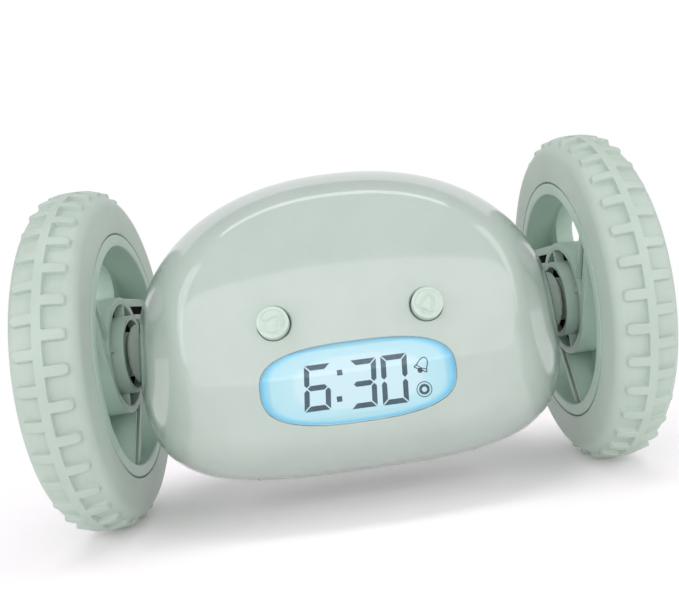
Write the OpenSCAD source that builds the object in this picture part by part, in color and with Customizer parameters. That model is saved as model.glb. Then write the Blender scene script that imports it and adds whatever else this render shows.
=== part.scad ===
// Runaway alarm clock: a pebble-shaped clock body carried on two large driven wheels.
// The origin is on the floor, midway between the wheels. The front faces -Y and +Z is up.

/* [Wheels] */
// Radius of the wheel over the tread
wheel_r = 44.5; // [43:0.5:50]
// Width of a tyre
tyre_w = 15; // [14:0.5:18]
// Thickness of a tyre from its seat on the rim to the tread
tyre_t = 12; // [11:0.5:13]
// Thickness of the rim's barrel
barrel_t = 3.2; // [2.4:0.2:4]
// Thickness of the rim's outer disc
disc_t = 2.6; // [2:0.2:3.2]
// Number of lugs on each side of a tyre
lug_count = 36; // [24:2:44]
// Width of a lug
lug_w = 2.7; // [2:0.1:3.2]
// Length of a lug beside the centre rib
lug_len = 4.5; // [4:0.1:5]
// Height of the lugs and of the centre rib
lug_h = 1.2; // [0.8:0.1:1.6]
// Width of the centre rib
rib_w = 2.2; // [1.8:0.1:3]
// Radius of the drum round the hub
drum_r = 14.3; // [13:0.1:15]
// Number of double spokes
spoke_count = 3; // [3:1:4]

/* [Body] */
// Width of the body
body_w = 111.6; // [108:0.4:118]
// Reach of the body above its centre
top_reach = 45; // [43:0.5:48]
// Reach of the body below its centre
bottom_reach = 34.3; // [34:0.1:36]
// Reach of the body in front of its centre, before the face is cut
front_reach = 44; // [43:0.5:47]
// Reach of the body behind its centre
rear_reach = 38; // [37:0.5:41]
// Drop of the body's centre below the axle
body_drop = 3.5; // [3:0.1:4]
// Roundness of the upper half seen from the front, where 2 is an ellipse
top_power = 2.2; // [2.1:0.05:2.5]
// Roundness of the lower half seen from the front, where 2 is an ellipse
bottom_power = 3.4; // [3:0.1:4]
// Roundness of the body seen from the side, where 2 is an ellipse
depth_power = 2.2; // [2.1:0.05:2.5]
// Backward lean of the face in degrees
face_lean = 7.8; // [6:0.2:9]
// Reach of the domed face in front of the body's centre
face_reach = 38.2; // [37.8:0.1:39]
// Wall of the two shells
wall = 2; // [1.6:0.1:2.2]

/* [Window] */
// Width of the display window
window_w = 44.4; // [43:0.2:46]
// Height of the display window
window_h = 18; // [17.4:0.2:19]
// Drop of the window's centre below the axle
window_drop = 11.3; // [10.8:0.1:11.8]
// Thickness of the window's lens
lens_t = 1.4; // [1:0.1:1.6]
// Width of the display glass
lcd_w = 40; // [38:0.5:41]
// Height of the display glass
lcd_h = 15; // [14:0.2:16]
// Height of the digits
digit_h = 11.9; // [11:0.1:12.4]
// Width of a digit
digit_w = 6.2; // [5.6:0.1:6.4]

/* [Buttons] */
// Diameter of the two front buttons
front_button_d = 7.3; // [6:0.1:8]
// Distance between the two front buttons
front_button_gap = 34.8; // [33:0.2:36]
// Height of the front buttons above the axle
front_button_z = 3.7; // [3:0.1:4.5]
// How far a front button stands proud
front_button_proud = 2.4; // [1.8:0.1:2.8]
// Travel of a front button
front_travel = 0.8; // [0.5:0.1:1]
// Diameter of the four rear buttons
rear_button_d = 6.4; // [5:0.1:7]
// Distance from one rear button to the next
rear_button_gap = 14; // [13.5:0.1:15]
// Travel of a rear button
rear_travel = 0.6; // [0.4:0.1:0.8]

/* [Drive] */
// Diameter of a wheel's axle
axle_d = 5; // [4:0.1:5.4]
// Tooth module of the gears
gear_module = 0.5; // [0.48:0.01:0.52]
// Diameter of a motor
motor_d = 15.6; // [14:0.2:18]
// Length of a motor's can
motor_len = 19; // [16:0.5:20]
// Width of the space for the gears
gear_room = 9.8; // [9.6:0.1:10.4]
// Thickness of a gearbox wall
case_t = 1.4; // [1.2:0.1:1.6]

/* [Power and sound] */
// Diameter of a cell
cell_d = 10.5; // [10:0.1:10.6]
// Length of a cell with its nub
cell_len = 44.5; // [43:0.5:45]
// Diameter of the speaker
speaker_d = 24; // [20:0.5:25]
// Depth of the speaker
speaker_t = 5; // [4:0.2:6]
// Thickness of the circuit boards
board_t = 1.6; // [1.2:0.1:1.8]

/* [Fits] */
// Gap round a turning shaft
run_gap = 0.05; // [0.03:0.01:0.08]
// Gap round a button or a lid
slide_gap = 0.2; // [0.15:0.05:0.3]
// Gap between a fixed part and what it drops into
seat_gap = 0.1; // [0.05:0.05:0.15]

/* [Hidden] */

$fn = 48;
eps = 0.01;
far = 80;

// ---- colours ----
mint = [0.70, 0.79, 0.74];
pale_mint = [0.78, 0.87, 0.81];
steel = [0.72, 0.73, 0.75];
brass = [0.80, 0.66, 0.36];
board_green = [0.10, 0.38, 0.22];
black = [0.08, 0.08, 0.09];
white = [0.93, 0.93, 0.91];
sky = [0.55, 0.84, 0.96];

// ---- the body's skin ----
// The skin is a pebble blended with a domed face that leans back. Both are given as the
// distance from the body's centre along a direction d, so their blend is a formula too.
blend = 14;
oval_power = 2.8;
face_dome_depth = 60;
face_bend_x = 166;
face_bend_z = 105;
skin_sides = 64;
skin_rings = 25;
face_out = [0, -cos(face_lean), sin(face_lean)];
face_up = [0, sin(face_lean), cos(face_lean)];
face_half_x = sqrt(face_bend_x * face_dome_depth);
face_half_z = sqrt(face_bend_z * face_dome_depth);

function pebble_reach(d, inset) =
    let (power = d[2] > 0 ? top_power : bottom_power)
    let (reach_z = (d[2] > 0 ? top_reach : bottom_reach) - inset)
    let (reach_y = (d[1] < 0 ? front_reach : rear_reach) - inset)
    let (across = pow(abs(d[0]) / (body_w / 2 - inset), power) + pow(abs(d[2]) / reach_z, power))
    pow(pow(across, depth_power / power) + pow(abs(d[1]) / reach_y, depth_power), -1 / depth_power);

function dome_reach(d, inset) =
    let (e = [d[0] / face_half_x, (d * face_out) / face_dome_depth, (d * face_up) / face_half_z])
    let (k = (face_reach - inset) / face_dome_depth - 1)
    let (half_b = e[1] * k)
    (half_b + sqrt(half_b * half_b - (e * e) * (k * k - 1))) / (e * e);

function skin_reach(d, inset) =
    pow(pow(pebble_reach(d, inset), -blend) + pow(dome_reach(d, inset), -blend), -1 / blend);

// A direction, from the angle off the front (-Y) and the angle round it
function heading(off, round) = [sin(off) * cos(round), -cos(off), sin(off) * sin(round)];

body_centre = [0, 0, -body_drop];

// The skin's point on a line through (x, z) that runs front to back
function skin_depth(x, z, front, inset, near = 0, far_off = 90, step = 0) =
    let (side = front ? -1 : 1)
    let (y = (near + far_off) / 2)
    let (p = [x, side * y, z] - body_centre)
    step == 24 ? side * y
    : norm(p) < skin_reach(p / norm(p), inset)
        ? skin_depth(x, z, front, inset, y, far_off, step + 1)
        : skin_depth(x, z, front, inset, near, y, step + 1);

// The whole body as one closed solid, every reach drawn in by the inset
module pebble(inset, sides = skin_sides, rings = skin_rings) {
    off = [for (i = [1 : rings - 1]) 180 * i / rings];
    points = concat(
        [for (a = off) for (j = [0 : sides - 1])
            let (d = heading(a, 360 * j / sides)) d * skin_reach(d, inset)],
        [heading(0, 0) * skin_reach(heading(0, 0), inset)],
        [heading(180, 0) * skin_reach(heading(180, 0), inset)]);
    last = len(off) - 1;
    front_pole = sides * len(off);
    rear_pole = front_pole + 1;
    faces = concat(
        [for (i = [0 : last - 1]) for (j = [0 : sides - 1])
            [i * sides + j, (i + 1) * sides + (j + 1) % sides, (i + 1) * sides + j]],
        [for (i = [0 : last - 1]) for (j = [0 : sides - 1])
            [i * sides + j, i * sides + (j + 1) % sides, (i + 1) * sides + (j + 1) % sides]],
        [for (j = [0 : sides - 1]) [front_pole, (j + 1) % sides, j]],
        [for (j = [0 : sides - 1]) [rear_pole, last * sides + j, last * sides + (j + 1) % sides]]);
    translate(body_centre) polyhedron(points, faces);
}

// ---- small helpers ----
// Lifts what is modelled round the axle to its height above the floor
module at_axle() {
    translate([0, 0, wheel_r]) children();
}

// A left-hand piece is the right-hand one mirrored
module side(name) {
    if (name == "left") mirror([1, 0, 0]) children();
    else children();
}

// A cylinder along +X that starts at x
module rod_x(r, x, length, y = 0, z = 0) {
    translate([x, y, z]) rotate([0, 90, 0]) cylinder(r = r, h = length);
}

// A cylinder along +Y that starts at y
module rod_y(r, x, y, z, length) {
    translate([x, y, z]) rotate([-90, 0, 0]) cylinder(r = r, h = length);
}

// A box from its two corners
module block(low, high) {
    translate(low) cube(high - low);
}

// A rounded-oval outline, used for the window and what lies behind it
function oval(w, h, n = 60) =
    [for (i = [0 : n - 1])
        let (c = cos(360 * i / n), s = sin(360 * i / n))
        [w / 2 * sign(c) * pow(abs(c), 2 / oval_power),
         h / 2 * sign(s) * pow(abs(s), 2 / oval_power)]];

// The oval drawn from y_front to y_back at the window's place
module oval_bar(w, h, y_front, y_back) {
    translate([0, y_back, -window_drop]) rotate([90, 0, 0])
        linear_extrude(y_back - y_front) polygon(oval(w, h));
}

// ---- places along the axle, from the body outwards ----
gear_inner_x = body_w / 2 - 27.8;
gear_floor_x = gear_inner_x + case_t;
gear_roof_x = gear_floor_x + gear_room;
gear_outer_x = gear_roof_x + case_t;
wheel_gap = 2.7;
wheel_inner_x = body_w / 2 + wheel_gap;
wheel_mid_x = wheel_inner_x + tyre_w / 2;
wheel_outer_x = wheel_inner_x + tyre_w;
collar_start_x = body_w / 2 - 5.5;
collar_end_x = wheel_inner_x - 0.9;
nose_end_x = wheel_inner_x - 0.3;
hub_inner_x = wheel_inner_x + 0.6;
disc_outer_x = wheel_outer_x - 1.5;
disc_inner_x = disc_outer_x - disc_t;

// ---- gears ----
pinion_teeth = 10;
idler_big_teeth = 38;
idler_small_teeth = 12;
drive_teeth = 36;
axle_to_idler = gear_module * (idler_small_teeth + drive_teeth) / 2;
gear_reach_big = gear_module * (idler_big_teeth / 2 + 0.8);
gear_reach_drive = gear_module * (drive_teeth / 2 + 0.8);
tip_gap = 0.6;
room_r_idler = gear_reach_big + tip_gap;
room_r_drive = gear_reach_drive + tip_gap;
gearbox_bottom = axle_to_idler + room_r_idler + case_t;
pinion_face = 3.4;
idler_pin_r = 1.5;
shaft_r = 1;

// One gear's outline: straight-sided teeth, a little slim so that they never bind
module gear_outline(teeth, phase = 0) {
    pitch_r = gear_module * teeth / 2;
    tip_r = pitch_r + 0.8 * gear_module;
    root_r = pitch_r - 1.15 * gear_module;
    pitch_a = 360 / teeth;
    corners = [[-0.36, root_r], [-0.11, tip_r], [0.11, tip_r], [0.36, root_r]];
    polygon([for (i = [0 : teeth - 1]) for (k = corners)
        let (a = phase + (i + k[0]) * pitch_a)
        k[1] * [cos(a), sin(a)]]);
}

// A gear along +X between two stations, with a bore
module gear_x(teeth, x0, x1, bore_r, z = 0, phase = 0) {
    translate([x0, 0, z]) rotate([0, 90, 0]) difference() {
        linear_extrude(x1 - x0) gear_outline(teeth, phase);
        translate([0, 0, -eps]) cylinder(r = bore_r, h = x1 - x0 + 2 * eps);
    }
}

// Turning +X upright puts the tooth angle 0 at -Z, towards the idler below the axle
idler_z = -axle_to_idler;
idler_phase_big = 180 / idler_big_teeth + 180;
idler_phase_small = 180 / idler_small_teeth + 180;
pinion_x0 = gear_floor_x + 0.4;
pinion_x1 = pinion_x0 + pinion_face;
drive_x0 = pinion_x1 + 0.6;
drive_x1 = gear_roof_x - 0.4;
idler_big_x1 = pinion_x1 - 0.3;
idler_small_x1 = gear_roof_x - 0.2;

// ---- battery bay ----
cell_pitch = cell_d + 0.4;
cell_z = -27.1;
bay_y = -1.5;
spring_len = 3;
plate_t = 0.4;
bay_half_x = (cell_len + spring_len) / 2 + plate_t;
bay_half_y = 1.5 * cell_pitch + cell_d / 2 + 0.3;
bay_roof_z = cell_z + cell_d / 2 + 0.2;
tray_t = 1.2;
door_half_x = 27;
door_half_y = 20;
door_t = 1.7;

// ---- display stack, from the face inwards ----
rim_t = 1.2;
rim_w = 1.2;
rim_gap = 0.35;
digit_skin = 0.12;
// the deepest point of the lens's back lies somewhere on the window's outline
lens_back_y = max([for (p = oval(window_w, window_h))
    skin_depth(p[0], p[1] - window_drop, true, seat_gap + lens_t)]);
lcd_front_y = lens_back_y + rim_gap + rim_t + seat_gap + digit_skin;
lcd_t = 2.2;
lcd_back_y = lcd_front_y + lcd_t;
backlight_t = 3;
board_front_y = -24;
board_back_y = board_front_y + board_t;
strip_h = 1.5;
lcd_frame_t = 1.1;
lcd_top_z = -window_drop + lcd_h / 2;
lcd_bottom_z = -window_drop - lcd_h / 2;
digit_slant = 7.3;
digit_stroke = 1.2;

// ---- boards ----
main_board_half_x = 33;
main_board_top = 13;
main_board_bottom = -19.8;
board_boss_r = 2.8;
board_screw_r = 1;
board_screw_head_r = 2.2;
board_screw_head_t = 1.4;
chip_z = -5;
board_boss_places = [for (x = [-29, 29]) for (z = [8.5, -15.5]) [x, z]];
switch_w = 6;
switch_h = 3.5;
plunger_h = 0.8;
plunger_r = 1.7;
rear_board_front_y = 24;
rear_board_back_y = rear_board_front_y + board_t;
rear_button_z = -10;
rear_board_half_x = 1.5 * rear_button_gap + 5.5;
rear_post_places = [-rear_button_gap, rear_button_gap];
rear_post_r = 2.4;

// ---- buttons ----
front_tilt = 12;
front_stem_r = 2;
flange_t = 1;
flange_rim = 0.9;
front_button_x = front_button_gap / 2;
front_skin_y = skin_depth(front_button_x, front_button_z, true, 0);
// Length from the skin to the switch's plunger, along the tilted line
front_stem_len = (board_front_y - switch_h - plunger_h - front_skin_y) / cos(front_tilt)
    - front_travel - 0.45;
front_switch_z = front_button_z - (board_front_y - switch_h - front_skin_y) * tan(front_tilt);
rear_proud = 1.2;

// ---- speaker ----
speaker_z = 8;
speaker_front_y = 31;
speaker_back_y = speaker_front_y - speaker_t;
speaker_cup_t = 1.4;

// ---- case screws ----
case_boss_r = 4;
case_screw_r = 1.1;
case_head_r = 2.4;
case_head_t = 1.8;
case_head_y = 7;
case_screw_reach = 9;
case_boss_top = [27, 25];
case_boss_low = [34, -(gearbox_bottom + case_boss_r + 0.5)];
case_boss_places = [for (p = [case_boss_top, case_boss_low]) for (s = [-1, 1]) [s * p[0], p[1]]];

// ---- axle ----
axle_r = axle_d / 2;
bush_t = 1.2;
nose_t = 2.6;
nose_r = axle_r + bush_t + nose_t;
collar_t = 1.3;
collar_r = nose_r + slide_gap + collar_t;

// ================= body shells =================

module shell_bosses(front) {
    y0 = front ? -far : 0;
    intersection() {
        pebble(wall / 2, 32, 15);
        union() {
            for (p = case_boss_places) rod_y(case_boss_r, p[0], y0, p[1], far);
            if (front) for (p = board_boss_places) rod_y(board_boss_r, p[0], -far, p[1], far + board_front_y);
            else {
                for (x = rear_post_places)
                    rod_y(rear_post_r, x, rear_board_back_y, rear_button_z, far);
                difference() {
                    rod_y(speaker_d / 2 + seat_gap + speaker_cup_t, 0, speaker_back_y, speaker_z, far);
                    rod_y(speaker_d / 2 + seat_gap, 0, speaker_back_y - eps, speaker_z, far);
                }
            }
        }
    }
}

module axle_holes() {
    for (turn = [0, 180]) rotate([0, 0, turn]) rod_x(nose_r + slide_gap, gear_outer_x + 2, far);
}

module half_shell(front) {
    difference() {
        union() {
            difference() {
                pebble(0);
                pebble(wall, 48, 21);
            }
            shell_bosses(front);
            for (turn = [0, 180]) rotate([0, 0, turn])
                rod_x(collar_r, collar_start_x, collar_end_x - collar_start_x);
        }
        // everything beyond the parting plane
        if (front) block([-far, 0, -far], [far, far, far]);
        else block([-far, -far, -far], [far, 0, far]);
        axle_holes();
        block([-door_half_x, bay_y - door_half_y, -far], [door_half_x, bay_y + door_half_y, cell_z]);
    }
}

module front_shell() {
    color(mint) at_axle() difference() {
        half_shell(true);
        oval_bar(window_w, window_h, -far, board_front_y - 1);
        for (s = [-1, 1])
            front_button_line(s, front_button_d / 2 + slide_gap, -8, 6);
        for (p = case_boss_places) rod_y(case_screw_r, p[0], -case_screw_reach, p[1], far);
        for (p = board_boss_places) rod_y(board_screw_r, p[0], board_front_y - 7, p[1], far);
    }
}

module rear_shell() {
    color(mint) at_axle() difference() {
        half_shell(false);
        for (p = case_boss_places) {
            rod_y(case_screw_r, p[0], -eps, p[1], far);
            rod_y(case_head_r + slide_gap, p[0], case_head_y, p[1], far);
        }
        for (i = [0 : 3])
            rod_y(rear_button_d / 2 + slide_gap, rear_button_x(i), rear_board_back_y, rear_button_z, far);
        for (x = rear_post_places)
            rod_y(board_screw_r, x, rear_board_back_y - eps, rear_button_z, 6);
        speaker_holes();
    }
}

// A hexagonal pattern of round holes in front of the speaker
module speaker_holes() {
    hole_r = 0.85;
    hole_gap = 3.6;
    rings = floor((speaker_d / 2 - 2) / hole_gap);
    for (i = [-rings : rings]) for (j = [-rings : rings])
        if (abs(i + j) <= rings)
            rod_y(hole_r, (i + j / 2) * hole_gap, speaker_front_y,
                  speaker_z + j * hole_gap * sqrt(3) / 2, far);
}

// ================= window and display =================

module window_lens() {
    color(sky, 0.6) at_axle() difference() {
        intersection() {
            pebble(seat_gap);
            oval_bar(window_w - 2 * seat_gap, window_h - 2 * seat_gap, -far, -20);
        }
        pebble(seat_gap + lens_t, 40, 17);
    }
}

module window_rim() {
    // a clear ring between the lens and the glass that carries light round the edge
    back_y = lcd_front_y - digit_skin - seat_gap;
    color(sky) at_axle() difference() {
        oval_bar(window_w - 2 * seat_gap, window_h - 2 * seat_gap, back_y - rim_t, back_y);
        oval_bar(window_w - 2 * (seat_gap + rim_w), window_h - 2 * (seat_gap + rim_w),
                 back_y - rim_t - 1, back_y + 1);
    }
}

module lcd_glass() {
    color([0.80, 0.93, 0.97]) at_axle()
        block([-lcd_w / 2, lcd_front_y, lcd_bottom_z], [lcd_w / 2, lcd_back_y, lcd_top_z]);
}

// The bars of a seven-bar digit, in the order top, upper right, lower right, bottom,
// lower left, upper left, middle
digit_bars = [
    ["six", [1, 0, 1, 1, 1, 1, 1]],
    ["three", [1, 1, 1, 1, 0, 0, 1]],
    ["zero", [1, 1, 1, 1, 1, 1, 0]]
];

// A bar with pointed ends between two points
module bar(a, b) {
    gap = 0.18;
    half = digit_stroke / 2;
    along = (b - a) / norm(b - a);
    across = [-along[1], along[0]];
    p = a + along * gap;
    q = b - along * gap;
    polygon([p, p + (along + across) * half, q + (across - along) * half,
             q, q - (along + across) * half, p + (along - across) * half]);
}

module digit(bars) {
    w = (digit_w - digit_stroke) / 2;
    h = (digit_h - digit_stroke) / 2;
    ends = [
        [[-w, h], [w, h]], [[w, h], [w, 0]], [[w, 0], [w, -h]], [[w, -h], [-w, -h]],
        [[-w, -h], [-w, 0]], [[-w, 0], [-w, h]], [[-w, 0], [w, 0]]
    ];
    for (i = [0 : 6]) if (bars[i] == 1) bar(ends[i][0], ends[i][1]);
}

// places in the display, from the digits' middle
digit_places = [-9.5, 1, 8.2];
digit_fall = 0.7;
colon_x = -4.4;
colon_places = [-3.3, 2.7];
colon_w = 1.2;
bell_place = [14.9, 2.1];
ring_place = [14.7, -3.6];
bell_lean = -12;

module bell_icon() {
    difference() {
        polygon([[-1.7, -1.3], [-1, -0.7], [-0.8, 1], [0, 1.8], [0.8, 1], [1, -0.7], [1.7, -1.3]]);
        polygon([[-0.8, -0.9], [-0.6, -0.6], [-0.4, 0.8], [0, 1.2], [0.4, 0.8], [0.6, -0.6], [0.8, -0.9]]);
    }
    translate([0, -1.8]) circle(r = 0.4);
}

module ring_icon() {
    difference() {
        circle(r = 1.7);
        circle(r = 1.4);
    }
    difference() {
        circle(r = 1.05);
        circle(r = 0.7);
    }
}

module lcd_digits() {
    color([0.24, 0.31, 0.37]) at_axle()
        translate([0, lcd_front_y, -window_drop - digit_fall]) rotate([90, 0, 0])
            linear_extrude(digit_skin) {
                multmatrix([[1, tan(digit_slant), 0, 0], [0, 1, 0, 0], [0, 0, 1, 0], [0, 0, 0, 1]]) {
                    for (i = [0 : 2]) translate([digit_places[i], 0]) digit(digit_bars[i][1]);
                    for (z = colon_places) translate([colon_x, z]) square(colon_w, center = true);
                }
                translate(bell_place) rotate(bell_lean) bell_icon();
                translate(ring_place) ring_icon();
            }
}

module backlight_plate() {
    // stops short of the glass's top, where the contact strip passes
    color(white) at_axle()
        block([-lcd_w / 2 + seat_gap, lcd_back_y, lcd_bottom_z + seat_gap],
              [lcd_w / 2 - seat_gap, lcd_back_y + backlight_t, lcd_top_z - strip_h - 2 * seat_gap]);
}

module contact_strip() {
    color([0.85, 0.45, 0.50]) at_axle()
        block([-lcd_w / 2 + 2, lcd_back_y, lcd_top_z - strip_h],
              [lcd_w / 2 - 2, board_front_y, lcd_top_z]);
}

module lcd_frame() {
    outer = [lcd_w / 2 + lcd_frame_t, lcd_h / 2 + lcd_frame_t];
    inner = [lcd_w / 2 + seat_gap, lcd_h / 2 + seat_gap];
    shelf_y = lcd_back_y + backlight_t;
    color(white) at_axle() difference() {
        block([-outer[0], lcd_front_y, -window_drop - outer[1]],
              [outer[0], board_front_y, -window_drop + outer[1]]);
        block([-inner[0], lcd_front_y - 1, -window_drop - inner[1]],
              [inner[0], shelf_y, -window_drop + inner[1]]);
        block([-inner[0] + 1.5, shelf_y - 1, -window_drop - inner[1] + 1.5],
              [inner[0] - 1.5, board_front_y + 1, -window_drop + inner[1]]);
    }
}

// ================= boards and what is on them =================

module main_board() {
    color(board_green) at_axle() difference() {
        block([-main_board_half_x, board_front_y, main_board_bottom],
              [main_board_half_x, board_back_y, main_board_top]);
        for (p = board_boss_places) rod_y(board_screw_r, p[0], board_front_y - 1, p[1], 4);
    }
}

module control_chip() {
    chip_half = 5;
    chip_t = 1.2;
    color(black) at_axle()
        block([-chip_half, board_back_y, chip_z - chip_half],
              [chip_half, board_back_y + chip_t, chip_z + chip_half]);
}

module crystal() {
    can_r = 1.5;
    can_x = 9;
    can_len = 8;
    color(steel) at_axle() rod_x(can_r, can_x, can_len, board_back_y + can_r, chip_z);
}

module capacitors() {
    can_r = 2.5;
    can_len = 7;
    can_z = 6;
    color(black) at_axle() for (x = [-19, -12]) rod_y(can_r, x, board_back_y, can_z, can_len);
}

module tact_switch(x, y, z, dir) {
    // dir is -1 where the plunger faces the front, 1 where it faces the rear
    translate([x, y, z]) rotate([dir < 0 ? 90 : -90, 0, 0]) {
        translate([-switch_w / 2, -switch_w / 2, 0]) cube([switch_w, switch_w, switch_h]);
        cylinder(r = plunger_r, h = switch_h + plunger_h);
    }
}

module front_switches() {
    color(black) at_axle() for (s = [-1, 1])
        tact_switch(s * front_button_x, board_front_y, front_switch_z, -1);
}

module rear_board() {
    color(board_green) at_axle() difference() {
        block([-rear_board_half_x, rear_board_front_y, rear_button_z - 4.5],
              [rear_board_half_x, rear_board_back_y, rear_button_z + 4.5]);
        for (x = rear_post_places)
            rod_y(board_screw_r, x, rear_board_front_y - 1, rear_button_z, 4);
    }
}

module rear_switches() {
    color(black) at_axle() for (i = [0 : 3])
        tact_switch(rear_button_x(i), rear_board_back_y, rear_button_z, 1);
}

module board_screw(dir) {
    // lies along +Z from the board's face: the head, then the shank
    translate([0, 0, -board_screw_head_t]) cylinder(r = board_screw_head_r, h = board_screw_head_t);
    translate([0, 0, -eps]) cylinder(r = board_screw_r, h = board_t + 5.5);
}

module board_screws() {
    color(steel) at_axle() {
        for (p = board_boss_places)
            translate([p[0], board_back_y, p[1]]) rotate([90, 0, 0]) board_screw();
        for (x = rear_post_places)
            translate([x, rear_board_front_y, rear_button_z]) rotate([-90, 0, 0]) board_screw();
    }
}

// ================= buttons =================

function rear_button_x(i) = (i - 1.5) * rear_button_gap;

// A cylinder on a front button's line, from a depth behind the skin to a depth before it
module front_button_line(s, r, from_skin, to_skin) {
    translate([s * front_button_x, front_skin_y, front_button_z]) rotate([90 - front_tilt, 0, 0])
        translate([0, 0, from_skin]) cylinder(r = r, h = to_skin - from_skin);
}

module front_button(s) {
    color(pale_mint) at_axle() {
        front_button_line(s, front_button_d / 2, -flange_depth, front_button_proud);
        front_button_line(s, front_button_d / 2 + flange_rim, -flange_depth, -flange_depth + flange_t);
        front_button_line(s, front_stem_r, -front_stem_len, 0);
    }
}
flange_depth = wall + 2.2;

module sleep_button() { front_button(-1); }
module alarm_button() { front_button(1); }

module rear_button(i) {
    x = rear_button_x(i);
    skin_y = skin_depth(x, rear_button_z, false, 0);
    stem_y = rear_board_back_y + switch_h + plunger_h + rear_travel + 0.1;
    flange_y = skin_y - wall - flange_t - 1.5;
    color(pale_mint) at_axle() {
        rod_y(rear_button_d / 2, x, flange_y, rear_button_z, skin_y + rear_proud - flange_y);
        rod_y(rear_button_d / 2 + flange_rim, x, flange_y, rear_button_z, flange_t);
        rod_y(front_stem_r, x, stem_y, rear_button_z, skin_y - stem_y);
    }
}

module hour_button() { rear_button(0); }
module minute_button() { rear_button(1); }
module set_button() { rear_button(2); }
module motion_button() { rear_button(3); }

// ================= speaker, cells and their tray =================

module speaker() {
    color(black) at_axle() {
        rod_y(speaker_d / 2, 0, speaker_back_y + 1.5, speaker_z, speaker_t - 1.5);
        rod_y(speaker_d / 3, 0, speaker_back_y, speaker_z, speaker_t);
    }
}

module battery_tray() {
    // a box with no floor, which stands on the shells beside the door
    color(mint) at_axle() difference() {
        intersection() {
            block([-bay_half_x - tray_t, bay_y - bay_half_y - tray_t, -far],
                  [bay_half_x + tray_t, bay_y + bay_half_y + tray_t, bay_roof_z + tray_t]);
            pebble(wall + slide_gap, 48, 21);
        }
        block([-bay_half_x, bay_y - bay_half_y, -far], [bay_half_x, bay_y + bay_half_y, bay_roof_z]);
    }
}

function cell_y(i) = bay_y + (i - 1.5) * cell_pitch;
function cell_dir(i) = i % 2 == 0 ? 1 : -1;

// A cell lies along X. Its nub touches one plate and its flat end a spring.
module cell(i) {
    nub_h = 1.1;
    tip = bay_half_x - plate_t;
    color([0.25, 0.40, 0.36]) at_axle() translate([0, cell_y(i), cell_z])
        rotate([0, 0, cell_dir(i) > 0 ? 0 : 180]) {
            rod_x(cell_d / 2, tip - cell_len, cell_len - nub_h);
            rod_x(1.9, tip - nub_h - eps, nub_h + eps);
        }
}

module battery_1() { cell(0); }
module battery_2() { cell(1); }
module battery_3() { cell(2); }
module battery_4() { cell(3); }

module contact_springs() {
    color(steel) at_axle() for (i = [0 : 3])
        translate([0, cell_y(i), cell_z]) rotate([0, 0, cell_dir(i) > 0 ? 180 : 0])
            translate([bay_half_x - plate_t, 0, 0]) rotate([0, -90, 0])
                cylinder(r1 = 3.4, r2 = 2.2, h = spring_len);
}

module contact_plates() {
    plate_half = 3.4;
    color(steel) at_axle() for (i = [0 : 3]) for (s = [-1, 1])
        block([s > 0 ? bay_half_x - plate_t : -bay_half_x, cell_y(i) - plate_half, cell_z - plate_half],
              [s > 0 ? bay_half_x : -bay_half_x + plate_t, cell_y(i) + plate_half, cell_z + plate_half]);
}

module battery_door() {
    // a patch of the skin, with two ribs that hold the cells up
    color(mint) at_axle() intersection() {
        pebble(0);
        block([-door_half_x + slide_gap, bay_y - door_half_y + slide_gap, -far],
              [door_half_x - slide_gap, bay_y + door_half_y - slide_gap, cell_z]);
        union() {
            difference() {
                block([-far, -far, -far], [far, far, 0]);
                pebble(door_t, 48, 21);
            }
            for (x = [-14, 14])
                block([x - 0.8, -far, -far], [x + 0.8, far, cell_z - cell_d / 2 - 0.3]);
        }
    }
}

module case_screws() {
    color(steel) at_axle() for (p = case_boss_places) {
        rod_y(case_screw_r, p[0], -case_screw_reach, p[1], case_screw_reach + case_head_y + eps);
        difference() {
            rod_y(case_head_r, p[0], case_head_y, p[1], case_head_t);
            translate([p[0] - 2, case_head_y + 1, p[1] - 0.3]) cube([4, 2, 0.6]);
        }
    }
}

// ================= drive =================

module gearbox_outline(grow) {
    // a tall slot round the axle and the idler below it
    translate([0, 0]) circle(r = room_r_drive + grow);
    translate([axle_to_idler, 0]) circle(r = room_r_idler + grow);
    translate([0, -room_r_drive - grow + 0.6]) square([axle_to_idler, 2 * (room_r_drive + grow) - 1.2]);
}

module gearbox_bar(grow, x0, x1) {
    translate([x0, 0, 0]) rotate([0, 90, 0]) linear_extrude(x1 - x0) gearbox_outline(grow);
}

module gearbox() {
    // the inner half: the motor's plate, the side walls and the idler's pin
    color(white) at_axle() {
        difference() {
            gearbox_bar(case_t, gear_inner_x, gear_roof_x);
            gearbox_bar(0, gear_floor_x, gear_roof_x + 1);
            rod_x(shaft_r + run_gap, gear_inner_x - 1, case_t + 2);
        }
        rod_x(idler_pin_r, gear_inner_x + eps, gear_outer_x - gear_inner_x, 0, idler_z);
    }
}

module gearbox_cover() {
    // the outer half, with the nose that the bush sits in
    color(white) at_axle() difference() {
        union() {
            gearbox_bar(case_t, gear_roof_x, gear_outer_x);
            rod_x(nose_r, gear_outer_x - eps, nose_end_x - gear_outer_x + eps);
        }
        rod_x(axle_r + bush_t, gear_roof_x - 1, far);
        rod_x(idler_pin_r, gear_roof_x - 1, 4, 0, idler_z);
    }
}

module bush() {
    color(brass) at_axle() difference() {
        rod_x(axle_r + bush_t, gear_roof_x, nose_end_x - gear_roof_x);
        rod_x(axle_r + run_gap, gear_roof_x - 1, far);
    }
}

module motor() {
    boss_r = 3;
    color(steel) at_axle() difference() {
        union() {
            rod_x(motor_d / 2, gear_inner_x - motor_len, motor_len);
            rod_x(boss_r, gear_inner_x - motor_len - 1.5, 2);
        }
        rod_x(shaft_r + run_gap, gear_inner_x - motor_len + 2, far);
    }
}

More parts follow.
